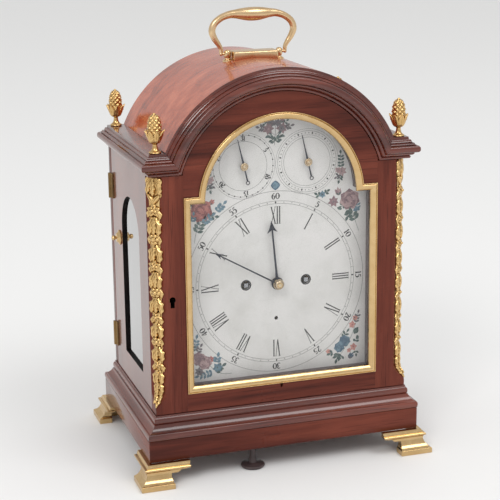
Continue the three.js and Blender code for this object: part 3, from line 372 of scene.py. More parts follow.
# Dark, middle and light tones, as 0 to 255 screen values.
FRONT_TONES = ((58, 23, 17), (94, 42, 31), (122, 60, 45))
MOULDING_TONES = ((52, 17, 12), (92, 37, 26), (124, 58, 42))
SIDE_TONES = ((80, 34, 24), (108, 50, 36), (132, 66, 46))
VAULT_TONES = ((118, 46, 24), (176, 80, 48), (204, 108, 74))
INNER_TONES = ((52, 27, 17), (78, 42, 27), (100, 58, 38))
# Painted shade and reflection: the dark purple-grey of the reveal behind the bezel stands for its shade and
# the dial mirrored in it; the steady button takes it as painted shade.
REVEAL_SHADE_TONES = ((52, 42, 42), (78, 64, 64), (96, 82, 84))
# Painted shade: a near-black colour on the cut edges of the side lights and on the keyhole's walls, standing
# for the shade inside them.
EDGE_SHADE_TONES = ((14, 12, 12), (22, 18, 18), (30, 25, 24))
# The darkest gilt tone is the painted shade in the hollow parts of the cast mounts and finials.
GILT_TONES = ((52, 36, 20), (170, 130, 76), (226, 190, 130))
BEZEL_TONES = ((130, 98, 56), (198, 164, 112), (220, 190, 142))
HANDLE_TONES = ((126, 94, 62), (206, 172, 126), (232, 204, 164))
COLLET_TONES = ((116, 92, 64), (190, 168, 136), (226, 208, 178))
# The lighter and darker tone of each colour on the dial.
PAINTS = {
    "rose": ((184, 118, 110), (156, 88, 84)),
    "rose_deep": ((148, 86, 82), (116, 62, 62)),
    "mauve": ((178, 152, 150), (150, 122, 126)),
    "mauve_deep": ((144, 116, 120), (114, 88, 96)),
    "blue": ((112, 142, 156), (78, 106, 124)),
    "blue_deep": ((84, 112, 132), (56, 82, 104)),
    "green": ((90, 110, 104), (58, 78, 76)),
    "grey": ((120, 114, 118), (86, 82, 90)),
    "pink": ((206, 152, 142), (178, 118, 110)),
}

LOOKS = {
    "front_level": wood("mahogany_front_level", "x", FRONT_TONES, (0.24, 0.38), 1.3, 0.14, 0.1),
    "front_upright": wood("mahogany_front_upright", "z", FRONT_TONES, (0.24, 0.38), 1.3, 0.14, 0.1),
    "moulding": wood("mahogany_moulding", "x", MOULDING_TONES, (0.14, 0.24), 1.0, 0.5, 0.5),
    "front_deep": wood("mahogany_side_moulding", "y", SIDE_TONES, (0.16, 0.28), 1.0, 0.3, 0.45),
    "side": wood("mahogany_side", "z", SIDE_TONES, (0.16, 0.28), 1.0, 0.4, 0.65),
    "vault": wood("vault_veneer", "x", VAULT_TONES, (0.16, 0.28), 1.4, 0.4, 0.25),
    "inner": wood("inner_wood", "x", INNER_TONES, (0.55, 0.7), 1.0, 0.25),
    "reveal": wood("door_reveal_shade", "x", REVEAL_SHADE_TONES, (0.4, 0.55)),
    "light_edge": wood("side_light_edge_shade", "x", EDGE_SHADE_TONES, (0.5, 0.7), 1.0, 0.1, 0.0),
    "gilt": cast_metal("gilt_brass", GILT_TONES, relief_shading=1.0),
    "bezel": cast_metal("bezel_brass", BEZEL_TONES, (0.14, 0.26), 90),
    "handle": cast_metal("handle_brass", HANDLE_TONES, (0.2, 0.34), 60),
    "collet": cast_metal("collet_brass", COLLET_TONES, (0.2, 0.32)),
    "old_brass": turned_metal("old_brass", (148, 120, 80), (84, 66, 42), (0.3, 0.5)),
    "brass": turned_metal("movement_brass", (214, 176, 104), (150, 112, 58)),
    "steel": turned_metal("steel", (176, 178, 182), (110, 110, 112)),
    "blued": turned_metal("blued_steel", (56, 60, 72), (40, 40, 44), (0.3, 0.45)),
    "bell": turned_metal("bell_metal", (222, 212, 186), (176, 160, 126), (0.2, 0.3)),
    "dial": dial_ground("dial_paint"),
    "ink": paint("dial_ink", (34, 34, 36), (20, 20, 22), 300),
    "thin_ink": paint("dial_thin_ink", (88, 88, 88), (64, 64, 64), 300),
    **{name: paint(f"{name}_paint", *tones) for name, tones in PAINTS.items()},
    "glass": clear_glass("plate_glass"),
    "side_glass": clear_glass("side_plate_glass", 2.8),
}


# ---------- meshes ----------
def turns(count):
    """Angles evenly round a circle."""
    return [2 * pi * k / count for k in range(count)]


def facing(x, z):
    """Lays a turned form on an axis from front to back; its third measure is the depth."""
    return lambda u, v, w: (x + u, behind(w), z + v)


def standing(x, depth):
    """Lays a turned form on an upright axis."""
    return lambda u, v, w: (x + u, behind(depth) + v, w)


def crossways(x, depth, z):
    """Lays a turned form on an axis from left to right."""
    return lambda u, v, w: (x + w, behind(depth) + u, z + v)


def rod(radius, near, far):
    return [(0, near), (radius, near), (radius, far), (0, far)]


class Solid:
    """Points in mm and faces, gathered from several closed forms into one mesh."""

    def __init__(self):
        self.points = []
        self.faces = []
        self.face_looks = []

    def face(self, corners, look):
        self.faces.append(tuple(corners))
        self.face_looks.append(look)

    def skin(self, rings, look=None, closed=False):
        """A skin over rings of points; its ends are capped, or meet each other where it is closed."""
        count = len(rings[0])
        rows = []
        for ring in rings:
            rows.append(range(len(self.points), len(self.points) + count))
            self.points.extend(tuple(p) for p in ring)
        for below, above in zip(rows, rows[1:] + rows[:1] if closed else rows[1:]):
            for i in range(count):
                j = (i + 1) % count
                self.face((below[i], below[j], above[j], above[i]), look)
        if not closed:
            self.face(rows[0], look)
            self.face(rows[-1], look)
        return self

    def plate(self, outline, near, far, holes=(), look=None):
        """A flat plate of one outline with holes, between two depths."""
        loops = [outline, *holes]
        start = len(self.points)
        flat = [p for loop in loops for p in loop]
        for depth in (near, far):
            self.points.extend((x, behind(depth), z) for x, z in flat)
        count = len(flat)
        for triangle in tessellate_polygon([[Vector((x, z, 0)) for x, z in loop] for loop in loops]):
            self.face([start + i for i in triangle], look)
            self.face([start + count + i for i in reversed(triangle)], look)
        first = start
        for loop in loops:
            for i in range(len(loop)):
                a = first + i
                b = first + (i + 1) % len(loop)
                self.face((a, b, b + count, a + count), look)
            first += len(loop)
        return self

    def turned(self, profile, place, sides=48, look=None):
        """A form turned from [radius, along] points that start and end on the axis."""
        rings = []
        for r, along in profile:
            r = max(r, 0.01)
            rings.append([place(r * cos(a), r * sin(a), along) for a in turns(sides)])
        return self.skin(rings, look)

    def mesh(self, name, looks=()):
        mesh = bpy.data.meshes.new(name)
        mesh.from_pydata([tuple(c * MM for c in p) for p in self.points], [], self.faces)
        for look in looks:
            mesh.materials.append(LOOKS[look])
        mesh.polygons.foreach_set("material_index", [looks.index(k) if k else 0 for k in self.face_looks])
        weld(mesh)
        return mesh

    def make(self, name, looks, body, nodes=(), slot=None, sharp=32):
        mesh = self.mesh(name, looks)
        shade(mesh, sharp)
        return settle(mesh, name, body, nodes)


def weld(mesh):
    bm = bmesh.new()
    bm.from_mesh(mesh)
    bmesh.ops.remove_doubles(bm, verts=bm.verts, dist=2e-6)
    bmesh.ops.recalc_face_normals(bm, faces=bm.faces)
    bm.to_mesh(mesh)
    bm.free()


def shade(mesh, sharp):
    mesh.polygons.foreach_set("use_smooth", [True] * len(mesh.polygons))
    mesh.set_sharp_from_angle(angle=radians(sharp))


def settle(mesh, name, body, nodes):
    """Puts a mesh in the scene, riding on its body and standing for its CAD nodes."""
    piece = put(name, mesh)
    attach(piece, body)
    if nodes:
        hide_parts(*nodes)
    return piece


def bake_modifiers(piece, sharp=None):
    """Replaces the piece's mesh by what its modifiers make of it."""
    graph = bpy.context.evaluated_depsgraph_get()
    mesh = bpy.data.meshes.new_from_object(piece.evaluated_get(graph))
    piece.modifiers.clear()
    piece.data = mesh
    if sharp is not None:
        shade(mesh, sharp)


def soften(piece, width, segments=2, angle=38):
    """Rounds every edge sharper than the angle."""
    bevel = piece.modifiers.new("edges", "BEVEL")
    bevel.width = width * MM
    bevel.segments = segments
    bevel.limit_method = "ANGLE"
    bevel.angle_limit = radians(angle)
    bevel.miter_outer = "MITER_ARC"
    bake_modifiers(piece, 32)


def fuse(piece, voxel, smoothing=2):
    """Melts overlapping forms into one skin, as in a casting."""
    remesh = piece.modifiers.new("cast", "REMESH")
    remesh.mode = "VOXEL"
    remesh.voxel_size = voxel * MM
    smooth = piece.modifiers.new("smooth", "SMOOTH")
    smooth.factor = 0.5
    smooth.iterations = smoothing
    look = piece.data.materials[0]
    bake_modifiers(piece, 60)
    if not piece.data.materials:
        piece.data.materials.append(look)


def cut_away(piece, tool):
    """Cuts a tool's form out of the piece, and removes the tool."""
    boolean = piece.modifiers.new("cut", "BOOLEAN")
    boolean.operation = "DIFFERENCE"
    boolean.solver = "EXACT"
    boolean.object = tool
    bake_modifiers(piece, 32)
    bpy.data.objects.remove(tool)


def relook(piece, test, index=1, look=None):
    """Gives the faces that pass the test another of the piece's materials, which a look adds first."""
    if look:
        piece.data.materials.append(LOOKS[look])
    for polygon in piece.data.polygons:
        if test(polygon):
            polygon.material_index = index


def sideways(polygon):
    return abs(polygon.normal.x) > abs(polygon.normal.y) * 1.02


def curve_through(points, steps):
    """A smooth line through the points, with so many steps between each two."""
    ends = [points[0], *points, points[-1]]
    line = []
    for i in range(len(points) - 1):
        p0, p1, p2, p3 = ends[i:i + 4]
        for s in range(steps):
            t = s / steps
            point = []
            for a, b, c, d in zip(p0, p1, p2, p3):
                square, cube = 2 * a - 5 * b + 4 * c - d, 3 * b - a - 3 * c + d
                point.append(0.5 * (2 * b + (c - a) * t + square * t * t + cube * t ** 3))
            line.append(tuple(point))
    line.append(tuple(points[-1]))
    return line


def moulding(runs, steps=5):
    """A moulding's profile from its start and the runs after it, which meet at sharp edges."""
    start, *rest = runs
    line = []
    for run in rest:
        line.extend(curve_through([start, *run], steps if len(run) > 1 else 1))
        start = run[-1]
    return [p for i, p in enumerate(line) if i == 0 or dist(p, line[i - 1]) > 0.02]


def circle(x, z, radius, sides=24):
    return [(x + radius * cos(a), z + radius * sin(a)) for a in turns(sides)]


def arch_angles(start, steps):
    """Angles over an arch, from its right foot to its left."""
    return [start + (pi - 2 * start) * k / steps for k in range(steps + 1)]


def arc(z, radius, angles):
    return [(radius * cos(a), z + radius * sin(a)) for a in angles]


def break_arch(half, bottom, shoulder, arch, steps=72):
    """The outline of a door or dial: a rectangle with a round arch on its shoulders."""
    angles = arch_angles(asin((shoulder - ARCH_Z) / arch), steps)
    return [(-half, bottom), (half, bottom), (half, shoulder), *arc(ARCH_Z, arch, angles), (-half, shoulder)]


def copy_node(node, look, sharp=40, edge=0.0):
    """A CAD piece whose form is right, carried over with smooth shading and a soft edge."""
    source = NODES[node]
    mesh = source.data.copy()
    mesh.materials.clear()
    mesh.materials.append(LOOKS[look])
    mesh.polygons.foreach_set("material_index", [0] * len(mesh.polygons))
    bm = bmesh.new()
    bm.from_mesh(mesh)
    bmesh.ops.remove_doubles(bm, verts=bm.verts, dist=2e-6)
    bmesh.ops.dissolve_limit(bm, angle_limit=radians(1), verts=bm.verts, edges=bm.edges)
    bm.to_mesh(mesh)
    bm.free()
    shade(mesh, sharp)
    piece = settle(mesh, f"{node}_finished", source["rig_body"], [node])
    if edge:
        soften(piece, edge)
    return piece


# ---------- woodwork ----------
BASE_RUNS = [
    (9.7, PLINTH_TOP + 0.3), [(10.7, 48.2), (11.1, 50.4), (10.9, 52.8), (10.0, 54.4)], [(9.0, 54.6)],
    [(7.2, 55.6), (5.4, 57.2), (4.0, 59.2), (3.0, 61.6)], [(1.9, 61.9)],
    [(2.6, 63.2), (2.8, 65.2), (2.4, 67.2), (1.5, 68.6)], [(0.9, 68.9), (0.9, BODY_BOTTOM - 0.3)],
]


def base_moulding():
    solid = Solid()
    rings = []
    for offset, z in moulding(BASE_RUNS):
        x = CASE_HALF + offset
        near, far = FRONT - offset, BACK + offset
        rings.append([(-x, near, z), (x, near, z), (x, far, z), (-x, far, z)])
    solid.skin(rings)
    piece = solid.make("base_moulding_turned", ["moulding", "front_deep"], "case", ["base_moulding"],
                       "mahogany")
    relook(piece, sideways)


CORNICE_RUNS = [
    (0.2, 0.0), [(1.2, 0.2), (1.9, 1.0), (2.0, 2.2), (1.1, 3.2)], [(2.7, 3.5)],
    [(3.6, 3.9), (4.6, 4.8), (5.2, 5.8)], [(4.5, 6.2)], [(8.2, 6.9)],
    [(9.4, 8.2), (9.7, 10.4), (9.2, 12.6), (7.8, 13.7)], [(5.9, 13.9)], [(6.6, 14.3)],
    [(5.4, 14.8), (4.7, 16.2)], [(2.9, 16.6)], [(3.2, 17.0)], [(2.6, 17.8), (2.4, 18.6), (2.0, 19.3)],
    [(0.6, 19.6)], [(0.3, 20.4), (0.2, LEDGE - SHOULDER)],
]
# Where the level cornice and the arch moulding meet, and the gaps left between neighbours.
MITRE_FOOT = (103.2, SHOULDER)
MITRE_HEAD = (118.6, 337.3)
GAP = 0.3
FINE_GAP = 0.08


def mitre_x(z):
    (x0, z0), (x1, z1) = MITRE_FOOT, MITRE_HEAD
    return x0 + (z - z0) * (x1 - x0) / (z1 - z0)


def vault_x(z):
    return sqrt((VAULT_R + GAP) ** 2 - (z - VAULT_Z) ** 2)


def cornice(side, sign):
    """Level moulding: from the arch mitre round the front corner, along the side, and back in."""
    profile = [(offset, SHOULDER + rise) for offset, rise in moulding(CORNICE_RUNS)]
    top, bottom = profile[-1][1], profile[0][1]

    def section(x_of, y_of, inner_x, inner_y):
        ring = [(sign * x_of(offset, z), y_of(offset), z) for offset, z in profile]
        return ring + [(sign * inner_x(z), inner_y, z) for z in (top, bottom)]

    def corner_x(offset, _):
        return CASE_HALF + offset

    def past_mitre(z):
        return mitre_x(z) + FINE_GAP

    zone = behind(FRONT_ZONE)
    solid = Solid()
    solid.skin([
        section(lambda o, z: past_mitre(z), lambda o: FRONT - o, past_mitre, zone),
        section(corner_x, lambda o: FRONT - o, vault_x, zone),
        section(corner_x, lambda o: BACK + o, vault_x, BACK - 0.2),
        section(lambda o, z: vault_x(z), lambda o: BACK + o, vault_x, BACK),
    ])
    piece = solid.make(f"cornice_{side}_moulded", ["moulding", "front_deep"], "case",
                       [f"cornice_{side}"], "mahogany")
    relook(piece, sideways)


def arch_start(radius):
    """The angle at which a circle about the arch's centre meets the mitre."""
    along = Vector(MITRE_HEAD) - Vector(MITRE_FOOT)
    normal = Vector((along.y, -along.x)).normalized()
    reach = normal.dot(Vector(MITRE_FOOT) - Vector((0, ARCH_Z)))
    return atan2(normal.y, normal.x) + acos(reach / radius)


def arch_moulding():
    carried = moulding(CORNICE_RUNS)
    scale = (ARCH_OUTER - ARCH_INNER) / carried[-1][1]
    section = [(ARCH_INNER + rise * scale, -offset) for offset, rise in carried]
    section += [(ARCH_OUTER, FRONT_ZONE), (ARCH_INNER, FRONT_ZONE)]
    steps = 110
    starts = [arch_start(radius) for radius, _ in section]
    rings = []
    for k in range(steps + 1):
        ring = []
        for (radius, depth), start in zip(section, starts):
            angle = start + (pi - 2 * start) * k / steps
            ring.append((radius * cos(angle), behind(depth), ARCH_Z + radius * sin(angle)))
        rings.append(ring)
    solid = Solid().skin(rings)
    piece = solid.make("front_arch_moulding_carved", ["moulding", "vault"], "case", ["front_arch_moulding"],
                       "mahogany")

    def veneered(polygon):
        x, y, z = polygon.center / MM
        return hypot(x, z - ARCH_Z) > ARCH_OUTER - 0.15 and y > FRONT

    relook(piece, veneered)


def vault():
    band = []
    for radius, turn in ((VAULT_R, 1), (VAULT_R - VAULT_WALL, -1)):
        band += arc(VAULT_Z, radius, arch_angles(asin((SHOULDER + GAP - VAULT_Z) / radius), 120)[::turn])
    solid = Solid()
    solid.plate(band, FRONT_ZONE + GAP, CASE_DEPTH)
    solid.make("vault_veneered", ["vault"], "case", ["vault_shell"], "vault_veneer")


# The front door: two upright stiles, a bottom rail and an arched head, and the reveal of the light.
# The light: half its width, its bottom, its shoulder and its arch's radius. BEZEL is given the same way.
OPENING = (96.5, 95.1, 286.4, 81.7)
STILE_EDGE = 101.9
SEAM = 0.06
CHAMFER_FROM_X = 122.0
CHAMFER_STOP = (75.0, 93.0)
NICK = ((-3.4, 87.6), (-1.9, 84.2), (-0.4, 87.6))
NICK_DEPTH = 4.0
KEY_X = -115.2
LOCK_Z = 188.5


def chamfer_share(z):
    """How much of the corner is taken off at a height: none at the foot, all above the stop."""
    low, high = CHAMFER_STOP
    share = min(max((z - low) / (high - low), 0), 1)
    return share * share * (3 - 2 * share)


def stile(solid, sign):
    low, high = BODY_BOTTOM + GAP, SHOULDER - 0.5
    stop = [CHAMFER_STOP[0] + (CHAMFER_STOP[1] - CHAMFER_STOP[0]) * k / 14 for k in range(15)]
    rings = []
    for z in [low, *stop, high]:
        share = chamfer_share(z)
        corner = max((CASE_HALF - CHAMFER_FROM_X) * share, 0.4)
        depth = max(DOOR_THICK * share, 0.4)
        plan = [(STILE_EDGE, 0), (CASE_HALF - corner, 0), (CASE_HALF, depth - 0.05 * share),
                (CASE_HALF, DOOR_THICK), (STILE_EDGE, DOOR_THICK)]
        rings.append([(sign * x, behind(d), z) for x, d in plan])
    solid.skin(rings)
    edge, bottom, top = OPENING[:3]
    strip = [(edge, bottom), (STILE_EDGE, bottom), (STILE_EDGE, top), (edge, top)]
    solid.plate([(sign * x, z) for x, z in strip], 0, DOOR_THICK)


def head_board():
    """The arched board over the light, its grain level."""
    _, _, shoulder, arch = OPENING
    end = STILE_EDGE - SEAM
    outer = arc(ARCH_Z, DOOR_ARCH, arch_angles(acos(STILE_EDGE / DOOR_ARCH), 80))
    inner = arc(ARCH_Z, arch, arch_angles(asin((shoulder - ARCH_Z) / arch), 80)[::-1])
    outer = [(end, outer[0][1]), *outer[1:-1], (-end, outer[-1][1])]
    return [(end, shoulder), *outer, (-end, shoulder), *inner]


def keyhole_tool():
    tool = Solid()
    slot = [(-2.1, -7), (2.1, -7), (2.1, 0), (-2.1, 0)]
    tool.plate([(KEY_X + x, LOCK_Z + z) for x, z in slot], -2, DOOR_THICK + 2)
    tool.turned(rod(3.3, -2, DOOR_THICK + 2), facing(KEY_X, LOCK_Z + 1), 24)
    cutter = put("keyhole_tool", tool.mesh("keyhole_tool"))
    join = cutter.modifiers.new("join", "REMESH")
    join.mode = "VOXEL"
    join.voxel_size = 0.15 * MM
    bake_modifiers(cutter)
    return cutter


def in_reveal(polygon):
    """True on the edges of the light behind the bezel, which are painted dark as shade, with a purple-grey
    painted reflection of the dial.
    """
    half, bottom, shoulder, arch = (c * MM for c in OPENING)
    at = polygon.center
    radius = hypot(at.x, at.z - ARCH_Z * MM)
    edge = abs(abs(at.x) - half) < 4e-4 or abs(at.z - bottom) < 4e-4 or abs(at.z - shoulder) < 4e-4
    edge = edge or (at.z > shoulder and abs(radius - arch) < 6e-4)
    return abs(polygon.normal.y) < 0.5 and edge and abs(at.x) < half + 6e-4


def in_keyhole(polygon):
    at = polygon.center / MM
    return abs(polygon.normal.y) < 0.5 and hypot(at.x - KEY_X, at.z - LOCK_Z) < 8.5


def front_door():
    for side, sign in SIDES.items():
        solid = Solid()
        stile(solid, sign)
        piece = solid.make(f"door_stile_{side}", ["front_upright", "reveal", "light_edge"], "front_door", (),
                           "mahogany")
        if sign < 0:
            cut_away(piece, keyhole_tool())
            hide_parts("door_frame")
            # The keyhole's walls take the near-black painted shade.
            relook(piece, in_keyhole, 2)
        relook(piece, in_reveal)
    rails = Solid()
    width = STILE_EDGE - SEAM
    low, high = BODY_BOTTOM + GAP, OPENING[1]
    left, deepest, right = NICK
    notched = [(right[0], high), right, deepest, left, (left[0], high)]
    rails.plate([(-width, low), (width, low), (width, high), *notched, (-width, high)], 0, NICK_DEPTH)
    rails.plate([(-width, low), (width, low), (width, high), (-width, high)], NICK_DEPTH, DOOR_THICK)
    rails.plate(head_board(), 0, DOOR_THICK)
    piece = rails.make("door_rails", ["front_level", "reveal"], "front_door", (), "mahogany")
    relook(piece, in_reveal)


BUTTON_X = -32.5
BUTTON_DEPTH = 5.0
SIDE_WALL = 14.5
LIGHT = {"near": 51, "far": 127, "low": 100, "high": 276.5}


def on_light_edge(polygon):
    """True on the cut edge of a side light's opening, which is painted near-black as shade."""
    at = polygon.center / MM
    inside = behind(LIGHT["near"] - 1) < at.y < behind(LIGHT["far"] + 1)
    inside = inside and LIGHT["low"] - 1 < at.z < LIGHT["high"] + 1
    return abs(polygon.normal.x) < 0.5 and inside and abs(at.x) > CASE_HALF - SIDE_WALL


def woodwork():
    base_moulding()
    for side, sign in SIDES.items():
        cornice(side, sign)
    arch_moulding()
    vault()
    front_door()
    plinth = copy_node("plinth_frame", "front_level", edge=0.5)
    relook(plinth, sideways, look="front_deep")
    for side in SIDES:
        # The cut edges of the side lights take the near-black painted shade.
        relook(copy_node(f"side_panel_{side}", "side"), on_light_edge, look="light_edge")
    copy_node("rear_arch_board", "front_level")
    copy_node("back_door_frame", "front_upright", edge=0.4)
    copy_node("seat_board", "inner", edge=0.6)
    profile = [(0, 0.4), (10.4, 0.4), (11.8, 0.8), (12.4, 2.2), (11.9, 3.5), (10.2, 4.1), (7, 4.6),
               (4.5, 5.4), (3.4, 8), (3.2, 14), (3.2, 20), (4.2, 21.4), (5.5, 22.2), (5.5, 24.9), (0, 24.9)]
    # The steady button takes the reveal's dark colour as painted shade, for the shadow it stands in.
    button = Solid().turned(profile, standing(BUTTON_X, BUTTON_DEPTH))
    button.make("steady_button_turned", ["reveal"], "case", ["steady_button"], "mahogany")


# ---------- castings ----------
class Casting(Solid):
    """Relief drawn in a flat (u, z) plane and raised by w; it is laid on its surface at the end."""

    def leaf(self, at, heading, length, width, rise, base=0.4, lobes=0.0, curl=0.0, tip_lift=0.0):
        """A ribbed leaf from its stalk to its point. Heading is clockwise from straight up."""
        turn = radians(heading)
        rings = []
        rows = 13
        for i in range(rows):
            s = i / (rows - 1)
            bend = turn + radians(curl) * s
            centre = (at[0] + length * s * sin(turn + radians(curl) * s / 2),
                      at[1] + length * s * cos(turn + radians(curl) * s / 2))
            swell = sin(pi * min(s * 0.9 + 0.1, 1.0)) ** 0.75
            notch = 1 - 0.42 * abs(sin(lobes * pi * s)) if lobes else 1.0
            half = max(0.5 * width * swell * notch, 0.18)
            lift = base + tip_lift * s * s
            ring = []
            for k in range(9):
                t = -1 + k / 4
                rib = 0.8 if abs(t) < 0.1 else 1.0
                w = lift + rise * (0.35 + 0.65 * swell) * sqrt(max(1 - 0.9 * t * t, 0)) * rib
                ring.append((centre[0] + half * t * cos(bend), centre[1] - half * t * sin(bend), w))
            for t in (1, -1):
                ring.append((centre[0] + half * t * cos(bend), centre[1] - half * t * sin(bend),
                             max(lift - 1.4, 0.1)))
            rings.append(ring)
        self.skin(rings)

    def berry(self, at, radius, base):
        rings = []
        for i in range(7):
            angle = pi * i / 6
            ring_r = max(radius * sin(angle), 0.02)
            rings.append([(x, z, base - radius * cos(angle)) for x, z in circle(*at, ring_r, 10)])
        self.skin(rings)

    def rosette(self, at, radius, petals, rise, base=0.6, turn=0.0):
        """A flower of rounded petals in two rows about a seeded heart."""
        for row, (share, lift) in enumerate(((1.0, 0.0), (0.62, 0.9))):
            for k in range(petals):
                heading = turn + 360 * (k + 0.5 * row) / petals
                width = radius * share * 2.3 / petals * 1.6
                self.leaf(at, heading, radius * share, width, rise, base + lift, tip_lift=0.5)
        self.berry(at, radius * 0.24, base + rise + 0.9)

    def laid(self, lay):
        self.points = [lay(*p) for p in self.points]
        return self


MOUNT_TOP = 313.0
MOUNT_FOOT = 78.4
CHAMFER_RUN = CASE_HALF - CHAMFER_FROM_X


def mount_lay(sign):
    """Carries (u, z, w) on to a chamfer of the door, following its curved foot."""
    across = (sign * 0.618, 0.786)
    normal = (sign * 0.786, -0.618)

    def lay(u, z, w):
        full = chamfer_share(z)
        x = sign * (CASE_HALF - CHAMFER_RUN / 2 * full) + across[0] * u + normal[0] * w
        return x, behind(DOOR_THICK / 2 * full) + across[1] * u + normal[1] * w, z
    return lay


def husk(trail, z, size, rng):
    """Two plump leaves that part over a raised middle one."""
    for sign in (-1, 1):
        trail.leaf((sign * 1.2, z), sign * (156 + rng.uniform(-5, 5)), 17.5 * size, 9.6 * size, 3.2,
                   base=0.5, lobes=2.5, curl=sign * 26, tip_lift=1.0)
    trail.leaf((rng.uniform(-0.8, 0.8), z + 1), 180, 17 * size, 7.0 * size, 3.4,
               base=1.6, lobes=3.5, tip_lift=1.2)


def flower(trail, z, size, rng):
    """An open flower with a leaf turned out to each side below it."""
    for sign in (-1, 1):
        trail.leaf((sign * 2.0, z - 4 * size), sign * (150 + rng.uniform(-8, 8)), 11.5 * size, 7.4 * size,
                   2.6, lobes=1.5, curl=sign * 22)
    trail.rosette((rng.uniform(-0.5, 0.5), z - 6.5 * size), 7.0 * size, 5, 2.2,
                  base=1.0, turn=rng.uniform(0, 70))


def cluster(trail, z, size, rng):
    """Berries between two small leaves."""
    for sign in (-1, 1):
        trail.leaf((sign * 1.6, z), sign * (148 + rng.uniform(-6, 6)), 13 * size, 7.0 * size, 2.4, lobes=1.5,
                   curl=sign * 34)
    for k in range(6):
        angle = pi * k / 3 + rng.uniform(-0.2, 0.2)
        trail.berry((3.4 * size * cos(angle), z - 6.4 * size + 3.4 * size * sin(angle)), 2.3 * size, 2.0)
    trail.berry((0, z - 6.4 * size), 2.5 * size, 3.2)


def mount_relief():
    """A falling trail of flowers, leaves and berries under a block of leaves, ending in a point."""
    rng = random.Random(7)
    trail = Casting()
    levels = [(MOUNT_FOOT + 2, 0.7), (87, 2.4), (93, 4.0), (130, 4.8), (200, 5.2), (284, 5.6), (292, 6.0),
              (295, 8.2), (311.5, 8.2), (MOUNT_TOP, 7.4)]
    section = [(-1, 0.3), (1, 0.3), (1, 0.8), (0.6, 1.1), (-0.6, 1.1), (-1, 0.8)]
    trail.skin([[(half * share, z, w) for share, w in section] for z, half in levels])
    for sign in (-1, 1):
        trail.leaf((sign * 1.0, 312), sign * 142, 17, 8.6, 2.8, lobes=2.5, curl=sign * 36, tip_lift=1.4)
        trail.leaf((sign * 3.0, 312.5), sign * 122, 8.0, 6.0, 2.2, base=0.8, curl=sign * 44)
    trail.leaf((0, 312.6), 180, 18.5, 7.0, 3.4, base=1.2, lobes=3.5, tip_lift=1.0)
    for sign in (-1, 1):
        trail.leaf((sign * 6.4, 295.5), -sign * 128, 12.5, 5.0, 2.8, base=1.0, curl=-sign * 34)
    z = 287.0
    count = 0
    while z > 112:
        size = 0.84 + 0.2 * (z - 100) / 180
        draw, step = ((flower, 13.6), (husk, 14.4), (cluster, 12.6), (husk, 14.4))[count % 4]
        draw(trail, z, size, rng)
        z -= step * size
        count += 1
    while z > MOUNT_FOOT + 9:
        size = 0.4 + 0.42 * (z - MOUNT_FOOT - 9) / 24
        husk(trail, z, size, rng)
        z -= 11.4 * size
    trail.leaf((0, MOUNT_FOOT + 12), 180, 11.6, 4.0, 2.4, base=0.6)
    return trail


def corner_mounts():
    relief = mount_relief()
    drawn = [(u * 1.12, z, w) for u, z, w in relief.points]
    for side, sign in SIDES.items():
        name = f"corner_mount_{side}"
        relief.points = list(drawn)
        relief.laid(mount_lay(sign))
        fuse(relief.make(f"{name}_cast", ["gilt"], "front_door", [name], "gilt_brass", 60), 0.36)


FINIAL_X = 126.9
FINIAL_Y = 84
FINIAL_BASE = LEDGE + GAP
FINIAL_RUNS = [
    (0, 0), [(6.0, 0)], [(6.2, 0.7), (5.8, 1.4)], [(4.2, 2.4), (3.0, 4.2), (2.4, 6.6), (2.3, 8.6)],
    [(3.0, 9.2)], [(5.0, 11.2), (6.8, 14.4), (7.3, 18.0), (7.0, 21.4)], [(5.6, 22.4)],
]
EGG = {"foot": 20.0, "top": 37.0, "radius": 7.1}


def finial_form():
    """A pineapple standing in a cup of leaves, on a turned foot."""
    form = Solid()
    foot = moulding(FINIAL_RUNS)
    form.turned([*foot, (0, foot[-1][1])], lambda *at: at, 40)
    rings = []
    rows, spirals, tiers = 64, 7, 7
    for i in range(rows + 1):
        s = i / rows
        height = EGG["foot"] + (EGG["top"] - EGG["foot"]) * s
        body = EGG["radius"] * sqrt(max(1 - (1.04 * s - 0.12) ** 2.6 if s > 0.12 else 1, 0.012))
        ring = []
        for angle in turns(72):
            left, right = (cos(spirals * angle + turn * pi * tiers * s) for turn in (1, -1))
            scale = max(left * 0.5 + 0.5, 0) ** 0.8 * max(right * 0.5 + 0.5, 0) ** 0.8
            r = body * (0.9 + 0.16 * scale)
            ring.append((r * cos(angle), r * sin(angle), height))
        rings.append(ring)
    form.skin(rings)
    form.turned([(0, 36.2), (1.5, 36.4), (1.7, 37.4), (1.3, 38.4), (0, 39)], lambda *at: at, 20)
    leaves = 8
    for row, (z, reach, tall) in enumerate(((10.2, 9.6, 12.6), (9.4, 7.8, 8.4))):
        for k in range(leaves):
            cup_leaf(form, 2 * pi * (k + 0.5 * row) / leaves, z, reach, tall)
    return form


def cup_leaf(form, turn, z, reach, tall):
    """A leaf that hugs the cup and turns out at its tip."""
    def at(out, aside, height):
        return out * cos(turn) - aside * sin(turn), out * sin(turn) + aside * cos(turn), height

    rows = 12
    rings = []
    for i in range(rows):
        s = i / (rows - 1)
        radius = 3.4 + (reach - 3.4) * (s ** 0.62) + 0.5 * max(s - 0.8, 0) * 5
        height = z + tall * s - 1.8 * max(s - 0.78, 0) ** 1.0 * 4.5 * max(s - 0.78, 0)
        half = max(3.0 * sin(pi * min(0.16 + 0.84 * s, 1)) ** 0.7, 0.16)
        ring = []
        for k in range(7):
            t = -1 + k / 3
            ring.append(at(radius + 0.75 * (1 - t * t) - (0.25 if abs(t) < 0.1 else 0), half * t, height))
        ring += [at(radius - 0.9, half * t, height) for t in (1, -1)]
        rings.append(ring)
    form.skin(rings)


def corners(kind):
    """The names of a kind of piece at the four corners, with their signs along x and y."""
    for end, y_sign in ENDS.items():
        for side, x_sign in SIDES.items():
            yield f"{kind}_{end}_{side}", x_sign, y_sign


